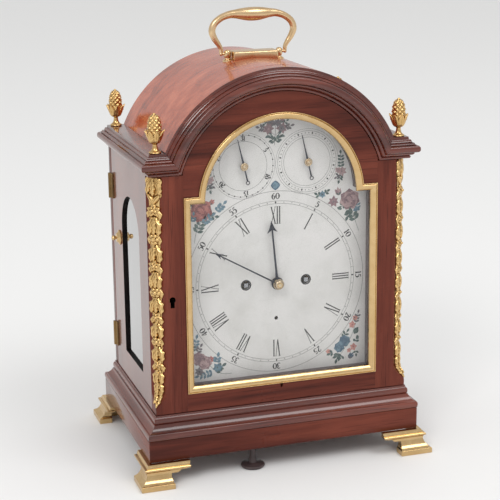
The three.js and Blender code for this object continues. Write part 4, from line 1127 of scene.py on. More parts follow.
def finials():
    form = put("finial_form", finial_form().mesh("finial_form", ["gilt"]))
    fuse(form, 0.24, 1)
    cast = form.data
    bpy.data.objects.remove(form)
    for name, x_sign, y_sign in corners("finial"):
        mesh = cast.copy()
        place = Vector((x_sign * FINIAL_X, behind(CASE_DEPTH / 2 + y_sign * FINIAL_Y), FINIAL_BASE)) * MM
        mesh.transform(Matrix.Translation(place))
        settle(mesh, f"{name}_cast", "case", [name])


FOOT_X = 157.7
FOOT_Y = 115.85
FOOT_WALL = 14.0
# Inset of the outer faces, length of the arms and height, in runs that meet at sharp edges.
FOOT_RUNS = [
    (0.5, 34.2, 0.0), [(0.0, 34.6, 0.5)], [(0.0, 34.6, 5.0)], [(0.2, 34.5, 5.5), (0.7, 34.2, 5.8)],
    [(1.5, 33.9, 6.3)],
    [(3.4, 33.2, 7.6), (5.2, 32.8, 9.6), (6.5, 32.6, 12.0), (7.3, 33.0, 14.4), (7.5, 34.2, 15.2)],
    [(7.4, 39.0, 14.6), (7.3, 41.4, 15.8), (7.2, 43.0, 17.2), (7.1, 47.4, 17.4)],
    [(6.8, 49.6, 18.0), (6.1, 50.8, 18.6)], [(5.5, 51.4, 18.8)],
    [(5.0, 52.2, 19.4), (5.0, 52.4, 20.4), (5.5, 52.2, 21.1)], [(7.6, 51.8, 21.3)],
    [(7.9, 52.2, 22.4), (8.6, 52.6, 23.6)], [(9.0, 52.8, 24.9)],
]


def feet():
    for name, x_sign, y_sign in corners("foot"):
        rings = []
        for inset, length, z in moulding(FOOT_RUNS, 4):
            plan = [(inset, inset), (length, inset), (length, FOOT_WALL), (FOOT_WALL, FOOT_WALL),
                    (FOOT_WALL, length), (inset, length)]
            rings.append([(x_sign * (FOOT_X - u), y_sign * (FOOT_Y - v), z) for u, v in plan])
        solid = Solid()
        solid.skin(rings)
        solid.make(f"{name}_cast", ["bezel"], "case", [name], "gilt_brass", 28)


BEZEL = (101.9, 89.7, 291.8, 87.1)
# The bezel's section: how far in from its outer edge, and the depth.
BEZEL_RUNS = [
    (0.0, -0.3), [(0.0, -1.0)], [(0.3, -1.7), (0.8, -1.8), (1.2, -1.2)], [(1.4, -1.5)],
    [(2.2, -2.2), (3.6, -2.1), (5.2, -1.3), (6.6, -0.3), (7.4, 0.6)], [(7.4, 2.8)], [(5.9, 2.8)],
    [(5.6, 0.5)], [(5.4, -0.2)],
]


def bezel():
    half, bottom, shoulder, arch = BEZEL
    rings = []
    for inset, depth in moulding(BEZEL_RUNS):
        outline = break_arch(half - inset, bottom + inset, shoulder - inset, arch - inset, 96)
        rings.append([(x, behind(depth), z) for x, z in outline])
    solid = Solid().skin(rings, closed=True)
    solid.make("bezel_cast", ["bezel"], "front_door", ["door_bezel"], "gilt_brass", 30)


POST_X = 27.8
EYE_X = 34.3
# The handle's right half from its middle down to its eye: x, height and radius.
BAIL = [
    (0, 457.2, 7.0), (6, 457.3, 6.7), (12.6, 457.6, 5.7), (19, 457.7, 4.5), (25.5, 457.2, 3.8),
    (34.2, 454.2, 3.5), (41.2, 448.5, 3.5), (43.7, 441.1, 3.5), (41, 433.5, 3.15), (36.8, 427.3, 2.6),
    (34.6, 423, 2.2), (EYE_X, 419.2, 2.0)]
POST_RUNS = [
    (0, 406), [(5.0, 406)], [(5.0, 411.0)], [(4.8, 411.6), (3.6, 412.2)],
    [(3.0, 412.7), (2.8, 413.5), (3.1, 414.4)],
    [(3.6, 415.8), (3.8, 418.0), (3.4, 420.0), (2.2, 421.6), (0, 422.3)],
]


def handle():
    right = curve_through(BAIL, 6)
    path = [(-x, z, r) for x, z, r in reversed(right[1:])] + right
    rings = []
    for i, (x, z, r) in enumerate(path):
        before, after = path[max(i - 1, 0)], path[min(i + 1, len(path) - 1)]
        along = Vector((after[0] - before[0], after[1] - before[1])).normalized()
        ring = []
        for angle in turns(28):
            out = r * cos(angle)
            ring.append((x - along.y * out, behind(HANDLE_DEPTH) + r * sin(angle), z + along.x * out))
        rings.append(ring)
    bail = Solid().skin(rings)
    eye = curve_through([(0, -2.1), (1.5, -1.5), (2.1, 0), (1.5, 1.5), (0, 2.1)], 5)
    for sign in SIDES.values():
        bail.turned(eye, crossways(sign * EYE_X, HANDLE_DEPTH, HANDLE_Z), 28)
        bail.turned(rod(1.4, -3.5, 3.5), crossways(sign * (EYE_X - 3.5), HANDLE_DEPTH, HANDLE_Z), 20)
    bail.make("handle_bail", ["handle"], "handle", ["carrying_handle"], "brass", 40)
    for side, sign in SIDES.items():
        post = Solid().turned(moulding(POST_RUNS), standing(sign * POST_X, HANDLE_DEPTH), 36)
        post.make(f"handle_post_{side}_turned", ["handle"], "case", [f"handle_post_{side}"], "brass")


def saddle():
    """The block between the posts, its upper edges rounded, fitted to the vault below."""
    half, width = 10.5, POST_X - 4.2
    edge = curve_through([(half, 418.4), (10.1, 419.7), (8.8, 420.4), (6.5, 420.6)], 4)
    outline = [(half, 412.0), *edge, *[(-y, z) for y, z in reversed(edge)], (-half, 412.0)]
    rings = []
    for k in range(25):
        x = -width + 2 * width * k / 24
        floor = VAULT_Z + sqrt(VAULT_R ** 2 - x * x)
        rings.append([(x, behind(HANDLE_DEPTH) + y, z if z > 412 else floor) for y, z in outline])
    solid = Solid().skin(rings)
    piece = solid.make("saddle_plate", ["handle"], "case", ["handle_saddle"], "brass")
    soften(piece, 0.5)


REPEAT_AT = (139.0, 222.5)


def metalwork():
    corner_mounts()
    finials()
    feet()
    bezel()
    handle()
    saddle()
    depth, height = REPEAT_AT

    def out_of_side(u, v, w):
        return -CASE_HALF - w, behind(depth) + u, height + v

    profile = [(0, 0.3), (8, 0.3), (8, 1.0), (7.5, 1.5), (5.9, 2.0), (4.9, 3.0), (4.4, 4.0), (0, 4.2)]
    boss = Solid().turned(profile, out_of_side)
    boss.make("repeat_boss_turned", ["bezel"], "case", ["repeat_boss"], "brass")
    end = curve_through([(1.3, 4.6), (1.9, 4.9), (2.6, 6), (2.7, 7), (2.2, 8.3), (1.2, 9), (0, 9.2)], 4)
    knob = Solid().turned([(0, 0.6), (1.3, 0.6), *end], out_of_side, 36)
    knob.make("repeat_knob_turned", ["bezel"], "repeat_pull", ["repeat_knob"], "steel")
    for node in ("back_hinge_lower", "back_hinge_upper"):
        copy_node(node, "old_brass")
    copy_node("back_door_catch", "brass")
    copy_node("door_lock", "brass", edge=0.4)
    copy_node("lock_bolt", "steel", edge=0.3)


# ---------- dial ----------
PAINT_STEP = 0.003
# Half width, bottom, shoulder and arch radius of the dial plate.
PLATE_OUTLINE = (100.5, 87.5, 293.2, 89.0)
FUSEE_X = 32.3


class DialPaint(Solid):
    """Paint laid on the dial plate in thin coats, each a little prouder than the one before."""

    coat = 10

    def surface(self):
        self.coat = self.coat + 1 if self.coat < 55 else 10
        return DIAL_DEPTH - PAINT_STEP * self.coat

    def stroke(self, points, lay, look):
        """A pen stroke through (x, y, half width) points."""
        near = behind(self.surface())
        far = behind(DIAL_DEPTH + 0.05)
        rings = []
        for i, (x, y, half) in enumerate(points):
            before, after = points[max(i - 1, 0)], points[min(i + 1, len(points) - 1)]
            run, rise = after[0] - before[0], after[1] - before[1]
            reach = hypot(run, rise)
            aside, up = -rise * half / reach, run * half / reach
            (x0, z0), (x1, z1) = lay(x + aside, y + up), lay(x - aside, y - up)
            rings.append([(x0, near, z0), (x1, near, z1), (x1, far, z1), (x0, far, z0)])
        self.skin(rings, look)

    def patch(self, outline, look):
        self.plate(outline, self.surface(), DIAL_DEPTH + 0.05, look=look)

    def line(self, centre, radius, width, look):
        """A circle drawn with a compass."""
        near, far = behind(DIAL_DEPTH - 0.03), behind(DIAL_DEPTH + 0.05)
        inner, outer = radius - width / 2, radius + width / 2
        section = ((inner, near), (outer, near), (outer, far), (inner, far))
        self.skin([[(x, y, z) for x, z in circle(*centre, r, 180)] for r, y in section], look, closed=True)


def facing_out(centre, radius, degrees):
    """Places (x, y) at a radius, y pointing outwards; angles run clockwise from the top."""
    turn = radians(degrees)
    sine, cosine = sin(turn), cos(turn)

    def lay(x, y):
        return (centre[0] + (radius + y) * sine + x * cosine, centre[1] + (radius + y) * cosine - x * sine)
    return lay


# Figures in a box a hundred units high: their width, then pen strokes of (x, y, half width).
FIGURES = {
    "0": (62, [
        [(31, 100, 3), (11, 82, 5), (4, 50, 8.5), (11, 18, 5), (31, 0, 3)], [(31, 100, 3), (51, 82, 5),
        (58, 50, 8.5), (51, 18, 5), (31, 0, 3)]]),
    "1": (34, [
        [(18, 100, 5.5), (17, 0, 7.5)], [(0, 84, 2), (19, 99, 4.5)], [(2, 1, 2.5), (33, 1, 2.5)]]),
    "2": (56, [
        [(5, 74, 5.5), (12, 93, 3.5), (30, 100, 3.5), (48, 86, 7), (45, 64, 7.5), (24, 32, 4), (3, 5, 3)],
        [(3, 5, 4.5), (30, 6, 6), (55, 14, 2.5)]]),
    "3": (52, [
        [(4, 84, 4.5), (16, 98, 3), (33, 97, 4.5), (44, 79, 7), (36, 60, 4), (19, 55, 2.5)],
        [(19, 55, 2.5), (40, 49, 4.5), (48, 28, 8), (36, 5, 4.5), (16, 0, 3), (3, 15, 5)]]),
    "4": (58, [
        [(42, 100, 4.5), (42, 0, 7)], [(43, 100, 3), (2, 30, 2.5)], [(2, 30, 3.5), (58, 30, 3.5)]]),
    "5": (52, [
        [(12, 95, 4.5), (30, 93, 5), (50, 100, 2.5)], [(13, 96, 2.5), (8, 56, 2.5)], [(8, 56, 2.5),
        (26, 63, 3.5), (44, 52, 6), (47, 30, 8), (36, 6, 4.5), (16, 0, 3), (3, 12, 5)]]),
    "6": (56, [
        [(50, 97, 2.5), (26, 86, 4), (9, 56, 7.5), (8, 30, 8), (17, 6, 5), (32, 0, 3.5), (46, 14, 6.5),
        (49, 33, 7.5), (40, 53, 4), (25, 56, 3), (11, 44, 2.5)]]),
}
FIGURE_GAP = 13


def write_figures(paint, text, lay, height, look, weight=1.5):
    """Numbers centred on the lay's axis, standing on y = 0."""
    x = -(sum(FIGURES[c][0] / 100 for c in text) + FIGURE_GAP / 100 * (len(text) - 1)) / 2
    for character in text:
        advance, strokes = FIGURES[character]
        for stroke in strokes:
            line = []
            for px, py, half in stroke:
                line.append(((x + px / 100) * height, py / 100 * height, half / 100 * height * weight))
            paint.stroke(curve_through(line, 4) if len(line) > 2 else line, lay, look)
        x += advance / 100 + FIGURE_GAP / 100


HOURS = ("XII", "I", "II", "III", "IV", "V", "VI", "VII", "VIII", "IX", "X", "XI")
LETTER_WIDTHS = {"I": 2.55, "V": 5.7, "X": 6.0}
HOUR_FOOT, HOUR_HEAD = 61.5, 79.5
THICK, THIN, SERIF = 0.56, 0.26, 0.18


def write_hour(paint, text, lay, look):
    height = HOUR_HEAD - HOUR_FOOT
    x = -sum(LETTER_WIDTHS[c] for c in text) / 2

    def serif(at, level, reach=1.0):
        paint.stroke([(at - reach, level, SERIF), (at + reach, level, SERIF)], lay, look)

    for letter in text:
        width = LETTER_WIDTHS[letter]
        middle = x + width / 2
        spread = width / 2 - 0.85
        if letter == "I":
            paint.stroke([(middle, 0, THICK), (middle, height, THICK)], lay, look)
            serif(middle, SERIF)
            serif(middle, height - SERIF)
        else:
            foot = 0 if letter == "V" else spread
            paint.stroke([(middle - spread, height, THICK), (middle + foot, 0, THICK)], lay, look)
            paint.stroke([(middle + spread, height, THIN), (middle - foot, 0, THIN)], lay, look)
            serif(middle - spread, height - SERIF, 1.1)
            serif(middle + spread, height - SERIF, 0.8)
            if letter == "X":
                serif(middle + spread, SERIF, 1.1)
                serif(middle - spread, SERIF, 0.8)
        x += width


def lozenge(lay, half_width, half_height, y=0.0):
    return [lay(0, y + half_height), lay(half_width, y), lay(0, y - half_height), lay(-half_width, y)]


def hour_ring(paint):
    centre = (0, DIAL_Z)
    for radius, width in ((82.4, 0.32), (85.15, 0.32), (95.4, 0.36)):
        paint.line(centre, radius, width, "thin_ink")
    for minute in range(60):
        lay = facing_out(centre, 83.78, 6 * minute)
        if minute % 5:
            paint.patch([lay(*p) for p in circle(0, 0, 0.46, 8)], "thin_ink")
        else:
            paint.patch(lozenge(lay, 1.0, 1.5), "ink")
            write_figures(paint, str(minute or 60), facing_out(centre, 87.2, 6 * minute), 6.2, "ink")
    for hour, text in enumerate(HOURS):
        write_hour(paint, text, facing_out(centre, HOUR_FOOT, 30 * hour), "ink")


def calendar_ring(paint):
    centre = (-SUBDIAL_X, SUBDIAL_Z)
    for radius in (24.9, 31.3):
        paint.line(centre, radius, 0.3, "thin_ink")
    paint.line(centre, 33.4, 0.24, "thin_ink")
    for day in range(1, 32):
        angle = 360 * day / 31
        if day % 5 and day != 31:
            paint.patch([facing_out(centre, 31.3, angle)(*p) for p in circle(0, 0, 0.74, 8)], "ink")
        else:
            paint.patch(lozenge(facing_out(centre, 31.3, angle), 1.0, 1.3), "ink")
            if day != 30:
                write_figures(paint, str(day), facing_out(centre, 25.7, angle), 4.4, "ink", 1.9)


def strike_ring(paint):
    centre = (SUBDIAL_X, SUBDIAL_Z)
    for radius, width in ((24.9, 0.3), (27.1, 0.22), (31.3, 0.3), (33.4, 0.24)):
        paint.line(centre, radius, width, "thin_ink")
    count = 48
    for k in range(count):
        angle = 360 * (k + 0.5) / count
        if k % 4 == 1:
            paint.patch(lozenge(facing_out(centre, 29.2, angle), 0.9, 1.5), "ink")
        else:
            paint.patch([facing_out(centre, 29.2, angle)(*p) for p in circle(0, 0, 0.5, 8)], "thin_ink")


class Spray:
    """Flowers and leaves painted with a loaded brush."""

    bold = 1.25

    def __init__(self, paint, seed):
        self.paint = paint
        self.rng = random.Random(seed)

    def dab(self, at, heading, length, width, look, blunt=0.5):
        """One petal or leaf, its stalk end at a point. Heading is clockwise from straight up."""
        lay = facing_out(at, 0, heading)
        length, width = length * self.bold, width * self.bold
        right = []
        for i in range(1, 8):
            s = i / 8
            half = 0.5 * width * sin(pi * s ** (1 / (0.6 + blunt))) * self.rng.uniform(0.92, 1.08)
            right.append((half, s * length))
        left = [(-x * self.rng.uniform(0.9, 1.1), y) for x, y in reversed(right)]
        self.paint.patch([lay(*p) for p in [(0, 0), *right, (0, length), *left]], look)

    def leaf(self, at, heading, length, width, look, vein):
        self.dab(at, heading, length, width, look, 0.35)
        self.paint.stroke([(0, length * 0.05, 0.07), (0.2, length * 0.5, 0.07), (0, length * 0.9, 0.03)],
                          facing_out(at, 0, heading), vein)

    def stalk(self, points, look, half=0.22):
        self.paint.stroke([(x, z, half) for x, z in curve_through(points, 5)], lambda *at: at, look)

    def sprig(self, at, heading, count, length, width, gap, look="green", vein="ink"):
        """Leaves in pairs along a stalk, and one at its end."""
        turn = radians(heading)
        end = (at[0] + gap * count * sin(turn), at[1] + gap * count * cos(turn))
        self.stalk([at, end], look, 0.18)
        for k in range(count):
            spot = (at[0] + gap * k * sin(turn), at[1] + gap * k * cos(turn))
            for sign in (-1, 1):
                aside = heading + sign * self.rng.uniform(48, 66)
                self.leaf(spot, aside, length * self.rng.uniform(0.85, 1.1), width, look, vein)
        self.leaf(end, heading, length * 1.1, width, look, vein)

    def blossom(self, at, radius, petals, look, heart, turn=0.0):
        for k in range(petals):
            heading = turn + 360 * k / petals + self.rng.uniform(-6, 6)
            length = radius * self.rng.uniform(0.9, 1.08)
            self.dab(at, heading, length, radius * 4.2 / petals, look, 0.9)
        self.paint.patch(circle(*at, radius * 0.2, 10), heart)

    def rose(self, at, radius, light, dark):
        """A full rose: rows of broad petals drawn in towards a dark heart."""
        for row, (share, petals) in enumerate(((1.0, 7), (0.78, 6), (0.56, 5), (0.36, 4))):
            for k in range(petals):
                heading = 360 * (k + 0.5 * (row % 2)) / petals + self.rng.uniform(-8, 8)
                turn = radians(heading)
                out = radius * share * 0.42
                root = (at[0] + out * sin(turn), at[1] + out * cos(turn))
                look = light if k % 2 else dark
                self.dab(root, heading, radius * share * 0.62, radius * share * 1.02, look, 1.2)
            self.paint.patch(circle(*at, radius * share * 0.62, 20), light if row % 2 else dark)
        for k in range(7):
            turn = self.rng.uniform(0, 360)
            lay = facing_out(at, radius * self.rng.uniform(0.1, 0.5), turn)
            self.paint.stroke([(-0.14 * radius, -0.05 * radius, 0.05), (0, 0.06 * radius, 0.14),
                               (0.14 * radius, -0.05 * radius, 0.05)], lay, dark)

    def bud(self, at, heading, length, look, cup):
        for turn, share in ((-22, 0.85), (22, 0.85), (0, 1.0)):
            self.dab(at, heading + turn, length * share, length * 0.42, look, 0.8)
        for turn in (-34, 34):
            self.dab(at, heading + turn, length * 0.5, length * 0.2, cup, 0.3)


def sprays(paint):
    top = Spray(paint, 3)
    top.stalk([(-0.9, 333), (-0.2, 341), (0.4, 349), (0.2, 361)], "grey")
    for sign in (-1, 1):
        top.stalk([(0, 343), (sign * 5, 347), (sign * 14, 351)], "grey", 0.16)
        top.sprig((sign * 11.6, 350.4), sign * 74, 2, 3.6, 2.0, 2.3, "grey")
        top.sprig((sign * 0.8, 337), sign * 48, 2, 4.0, 2.1, 2.4)
        top.sprig((sign * 3.4, 344), sign * 110, 1, 3.8, 2.1, 2.4, "green", "blue")
        top.sprig((sign * 10.4, 355), sign * 46, 1, 3.2, 1.9, 2.0)
        top.blossom((sign * 7.2, 350.2), 5.0, 7, "mauve_deep", "mauve", 15 * sign)
        top.blossom((sign * 6.8, 349.8), 3.0, 5, "grey", "ink", 40)
        top.blossom((sign * 3.2, 355.6), 3.6, 6, "grey", "mauve_deep", 10)
        top.bud((sign * 6.4, 355.4), sign * 24, 4.8, "mauve_deep", "green")
    for sign in (-1, 1):
        side = Spray(paint, 5 + sign)
        side.stalk([(sign * 66, 291), (sign * 71, 301), (sign * 69.6, 319)], "grey", 0.15)
        side.sprig((sign * 71, 306.5), -sign * 4, 4, 3.4, 2.0, 3.2)
        side.blossom((sign * 71.4, 301.4), 4.4, 7, "mauve", "mauve_deep", 10)
        side.blossom((sign * 67.0, 303.0), 2.8, 5, "mauve", "grey", 30)
        side.sprig((sign * 70.0, 297.5), sign * 196, 2, 3.4, 1.8, 2.4)
        side.sprig((sign * 68.0, 297.5), sign * 236, 1, 3.0, 1.7, 2.0, "grey")

    left = Spray(paint, 11)
    left.stalk([(-85.6, 240), (-83, 252), (-74, 262), (-66, 268)], "green", 0.2)
    left.sprig((-83, 251), 24, 4, 5.2, 2.7, 3.6, "green", "blue")
    left.sprig((-76, 260), 54, 3, 4.4, 2.3, 3.4, "blue", "green")
    left.sprig((-62, 271), 48, 3, 4.2, 2.4, 3.0, "blue", "green")
    left.sprig((-84.5, 266), -28, 2, 3.8, 2.0, 2.6)
    left.rose((-78.2, 272.6), 10.4, "rose", "rose_deep")
    left.bud((-69.4, 278.4), 52, 5.6, "rose", "green")
    left.dab((-86, 278), -60, 6.2, 3.4, "green")
    left.sprig((-70.4, 266), 96, 2, 4.0, 2.4, 3.0, "green", "blue")
    left.sprig((-87, 262), 8, 2, 3.6, 2.0, 2.8, "blue", "green")
    left.dab((-87, 281.5), -20, 4.2, 2.3, "blue")

    right = Spray(paint, 17)
    right.stalk([(90.4, 237.6), (87, 247), (84, 257), (80, 264)], "green", 0.18)
    right.sprig((86.5, 250), -28, 2, 5.4, 3.0, 3.6, "green", "blue")
    right.dab((84, 259), -98, 7.2, 3.8, "green")
    right.dab((84, 259), 64, 6.8, 3.6, "blue")
    right.sprig((88.8, 259), 2, 3, 3.2, 1.8, 2.8, "blue", "green")
    right.dab((72, 262), -72, 4.8, 2.8, "green")
    right.rose((80.2, 271.6), 9.6, "mauve", "mauve_deep")
    right.bud((68.4, 276.6), -10, 7.4, "mauve", "green")
    right.blossom((62.4, 270.6), 5.0, 7, "mauve_deep", "grey")
    right.blossom((50.2, 279.0), 3.4, 6, "blue", "ink")
    right.sprig((46.8, 278.2), -62, 1, 3.4, 2.0, 1.6)
    right.sprig((53.6, 280.6), 58, 1, 3.2, 2.0, 1.6)
    right.dab((90.4, 280), 30, 4.0, 2.2, "grey")
    right.sprig((80, 259.5), 200, 2, 4.2, 2.6, 2.8, "green", "blue")
    right.sprig((73.4, 266.4), 236, 1, 3.6, 2.2, 2.2)
    right.dab((68, 279), -48, 4.6, 2.4, "mauve_deep")

    low = Spray(paint, 23)
    low.stalk([(-48.9, 98.6), (-58, 99.2), (-66, 103), (-74, 112)], "green", 0.2)
    low.sprig((-66, 103), 58, 3, 4.4, 2.4, 2.6, "green", "blue")
    low.sprig((-64.6, 112.4), 12, 2, 4.4, 2.6, 2.6, "blue", "green")
    low.sprig((-70, 101.4), 262, 4, 3.9, 2.2, 3.4, "blue", "green")
    low.sprig((-88.2, 130), 14, 3, 4.0, 2.2, 3.2, "blue", "green")
    low.sprig((-84.6, 126), 32, 2, 3.4, 1.9, 2.6, "grey")
    low.rose((-84.2, 118.2), 6.4, "mauve", "mauve_deep")
    low.rose((-77.4, 113.4), 6.8, "mauve_deep", "mauve")
    low.blossom((-70.6, 116.0), 3.4, 6, "rose", "rose_deep")
    low.blossom((-83.4, 104.4), 4.4, 7, "grey", "ink")
    low.blossom((-64.0, 106.4), 4.6, 6, "blue", "green", 20)
    low.sprig((-90, 127), -6, 2, 3.6, 2.0, 2.6)

    corner = Spray(paint, 29)
    corner.stalk([(90.6, 150), (88, 138), (82, 122), (72, 106)], "green", 0.16)
    corner.sprig((68.4, 106.4), 196, 2, 4.6, 2.2, 2.8, "green", "blue")
    corner.sprig((74, 124), 38, 2, 3.8, 2.0, 3.0)
    corner.dab((86, 126), 34, 7.0, 4.6, "green")
    corner.dab((89.4, 124.6), 164, 4.4, 2.6, "green")
    corner.sprig((88.2, 139), 14, 3, 3.2, 1.7, 3.2, "grey")
    for x, z, size in ((84.0, 136.6, 3.4), (87.4, 143.8, 2.8), (85.4, 111.8, 3.6), (80.6, 108.6, 2.4),
                       (57.4, 110.0, 2.6)):
        corner.blossom((x, z), size, 5, "pink", "rose_deep", x)
    for x, z, turn in ((66.0, 105.0, 150), (72.6, 103.4, 220), (62.0, 108.4, 250), (88.0, 117.6, 20)):
        corner.sprig((x, z), turn, 1, 3.8, 2.2, 2.0, "green", "blue")
    corner.rose((69.6, 113.2), 5.2, "blue", "blue_deep")
    corner.rose((75.4, 119.4), 5.8, "blue", "blue_deep")
    corner.bud((80.4, 99.8), 40, 6.4, "blue_deep", "grey")
    corner.sprig((88.4, 107), 176, 1, 3.2, 1.7, 2.2)


DIAL_THICK = 1.5
CENTRE_HOLE, WINDING_HOLE, ARBOR_HOLE = 5.2, 4.3, 1.9
# A black ring painted round each winding hole: painted shade that makes the hole look wider than the plate's
# cut.
WINDING_HOLE_SHADE = (4.95, 1.3)
SMALL_HOLE = (0, 152.8, 2.1)
DIAMOND_Z = 292.3
DIAL_FEET = {"x": 66, "z": (132, 264), "radius": 2.6, "depth": 35.7}


def dial():
    paint = DialPaint()
    far = DIAL_DEPTH + DIAL_THICK
    holes = [circle(0, DIAL_Z, CENTRE_HOLE, 40), circle(*SMALL_HOLE, 20)]
    for sign in SIDES.values():
        holes.append(circle(sign * FUSEE_X, DIAL_Z, WINDING_HOLE, 40))
        holes.append(circle(sign * SUBDIAL_X, SUBDIAL_Z, ARBOR_HOLE, 20))
    paint.plate(break_arch(*PLATE_OUTLINE), DIAL_DEPTH, far, holes)
    foot = rod(DIAL_FEET["radius"], far - 0.4, DIAL_FEET["depth"])
    for z in DIAL_FEET["z"]:
        for sign in SIDES.values():
            paint.turned(foot, facing(sign * DIAL_FEET["x"], z), 24)
    # Painted shade round the winding holes.
    for sign in SIDES.values():
        paint.line((sign * FUSEE_X, DIAL_Z), *WINDING_HOLE_SHADE, "ink")
    hour_ring(paint)
    calendar_ring(paint)
    strike_ring(paint)
    diamond = facing_out((0, DIAMOND_Z), 0, 0)
    for half, tone in ((4.9, "blue_deep"), (3.4, "blue")):
        rim = [(abs(c) ** 0.4 * c * half, abs(s) ** 0.4 * s * half) for c, s in circle(0, 0, 1, 40)]
        paint.patch([diamond(*p) for p in rim], tone)
    sprays(paint)
    paint.make("dial_painted", ["dial", "ink", "thin_ink", *PAINTS], "case", ["dial_plate"], "dial_paint")


# ---------- hands ----------
# The front and back of each hand, as depths behind the front of the door.
HOUR_DEPTHS = (16.4, 17.6)
MINUTE_DEPTHS = (13.2, 14.4)
SMALL_DEPTHS = (17.6, 18.6)
# Degrees clockwise from straight up.
HOUR_TURN, MINUTE_TURN, SMALL_TURN = -5.3, -60.0, -13.0


def boss_side(radius, neck):
    """The right side of a round boss, from its foot up to where the shank leaves it."""
    last = pi / 2 - asin(neck / radius)
    return arc(0, radius, [-pi / 2 + (last + pi / 2) * k / 16 for k in range(1, 17)])


def mirrored(right, top, bottom=None):
    left = [(-x, y) for x, y in reversed(right)]
    return ([bottom] if bottom else []) + right + [top] + left


def blade(name, outline, hole, centre, turn, depths, body, nodes, width=0.28):
    lay = facing_out(centre, 0, turn)
    solid = Solid()
    holes = [[lay(*p) for p in circle(0, 0, hole, 36)]] if hole else []
    solid.plate([lay(*p) for p in outline], *depths, holes)
    piece = solid.make(name, ["blued"], body, nodes, "blued_steel")
    soften(piece, width)
    return piece


def hands():
    centre = (0, DIAL_Z)
    arrow = [(1.0, 12), (0.75, 56.6), (2.6, 55.6), (5.4, 54.0), (3.8, 56.6), (2.3, 59.4), (1.2, 62.6)]
    outline = mirrored(boss_side(6.4, 1.5) + arrow, (0, 66), (0, -6.4))
    blade("hour_hand_blued", outline, 4.4, centre, HOUR_TURN, HOUR_DEPTHS, "hour_work", ["hour_hand"])
    arrow = [(0.8, 10), (0.6, 70.6), (1.6, 69.6), (3.0, 68.2), (2.0, 70.8), (1.3, 72.8), (0.7, 75.2)]
    outline = mirrored(boss_side(5.2, 1.2) + arrow, (0, 78), (0, -5.2))
    blade("minute_hand_blued", outline, 2.5, centre, MINUTE_TURN, MINUTE_DEPTHS, "minute_work",
          ["minute_hand"])
    dome = curve_through([(2.7, 8.9), (4.0, 9.6), (5.1, 11.0), (5.65, 12.2)], 4)
    collet = Solid().turned([(0, 8.75), (1.6, 8.75), *dome, (5.65, 12.85), (0, 12.85)], facing(0, DIAL_Z))
    collet.make("hand_collet_turned", ["collet"], "minute_work", (), "brass")

    for sign, node, body in ((-1, "calendar_hand", "calendar"), (1, "strike_silent_hand", "strike_silent")):
        at = (sign * SUBDIAL_X, SUBDIAL_Z)
        lay = facing_out(at, 0, SMALL_TURN)
        right = [(2.6, -1.6), (2.6, 1.6), (1.0, 3.6), (0.55, 14), (0.32, 28)]
        tail = [(0.75, -15.4), (0.55, -4)]
        piece = blade(f"{node}_blued", mirrored([*tail, *right], (0, 28.6)), 0, at, SMALL_TURN, SMALL_DEPTHS,
                      body, [node], 0.15)
        middle = (SMALL_DEPTHS[0] + SMALL_DEPTHS[1]) / 2
        rings = []
        for angle in turns(12):
            loop = [lay(*p) for p in circle(0, -17.1, 1.75 + 0.42 * cos(angle), 28)]
            rings.append([(x, behind(middle + 0.42 * sin(angle)), z) for x, z in loop])
        ring = Solid().skin(rings, closed=True)
        ring.turned(rod(1.3, 18, 31), facing(*at), 20)
        ring.turned(rod(4, 28, 30), facing(*at), 32)
        ring.make(f"{node}_ring", ["blued"], body, (), "blued_steel")
        rim = curve_through([(4.2, 16.9), (3.6, 16.25), (3.0, 16.3), (2.5, 16.9)], 4)
        pin = curve_through([(1.6, 16.5), (1.1, 16.1), (0, 16.0)], 4)
        hub = Solid().turned([(0, 17.5), (4.2, 17.5), *rim, (1.7, 17.2), *pin], facing(*at), 40)
        hub.make(f"{node}_hub", ["collet"], body, (), "brass")


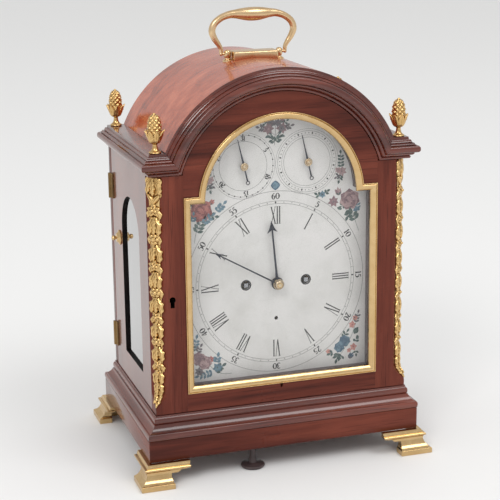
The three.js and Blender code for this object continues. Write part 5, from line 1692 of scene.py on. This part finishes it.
# ---------- glass and movement ----------
BOB_RISE = 24
BELL = {"depth": 60.5, "mouth": 300.0, "radius": 35.0, "crown": 331.0}


def glazing():
    copy_node("door_glass", "glass")
    copy_node("back_door_glass", "glass")
    for side in SIDES:
        copy_node(f"side_glass_{side}", "side_glass")


def movement():
    for node in ("movement_front_plate", "movement_back_plate"):
        copy_node(node, "brass", edge=0.3)
    for node in ("centre_arbor", "going_fusee", "strike_fusee", "going_barrel", "strike_barrel",
                 "third_wheel", "escape_wheel", "minute_wheel", "hour_wheel", "pin_wheel"):
        piece = copy_node(node, "brass")
        if node.endswith("fusee"):
            relook(piece, lambda polygon: polygon.center.y < behind(PLATE_DEPTH) * MM, look="steel")
    for node in ("hammer", "pallet_anchor"):
        copy_node(node, "steel")
    crown, mouth, radius = BELL["crown"], BELL["mouth"], BELL["radius"]
    outer = [(2.5, 0), (9, 0.4), (20, 5), (28, 13), (32, 23), (radius, crown - mouth)]
    inner = [(radius - 3, crown - mouth), (29.8, 22), (26, 14), (18.8, 7), (9, 2.4), (2.5, 2)]
    walls = [[(r, crown - drop) for r, drop in wall] for wall in (outer, inner)]
    profile = curve_through(walls[0], 5) + curve_through(walls[1], 5)
    at = behind(BELL["depth"])
    rings = [[(r * cos(a), at + r * sin(a), z) for r, z in profile] for a in turns(96)]
    bell = Solid().skin(rings, closed=True)
    bell.make("bell_turned", ["bell"], "case", ["bell"], "bell_metal")
    pendulum_node = copy_node("pendulum", "brass")
    bob_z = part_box("pendulum")[0].z / MM + BOB_RISE
    lens = [(0, 103.3), (8, 103.9), (14.6, 105.9), (17.05, 108), (14.6, 110.1), (8, 112.1), (0, 112.7)]
    bob = Solid().turned(curve_through(lens, 5), facing(0, bob_z), 64)
    bob.make("pendulum_bob", ["brass"], pendulum_node["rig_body"], (), "brass")


woodwork()
metalwork()
dial()
hands()
glazing()
movement()
make_camera()
make_world()
make_floor()
area_light("key", (-2.6, -3.0, 3.4), 1.6, 64, (1, 0.995, 0.98))
area_light("top", (1.35, -2.1, 3.6), 1.9, 46)
SCENE.view_settings.view_transform = "Standard"
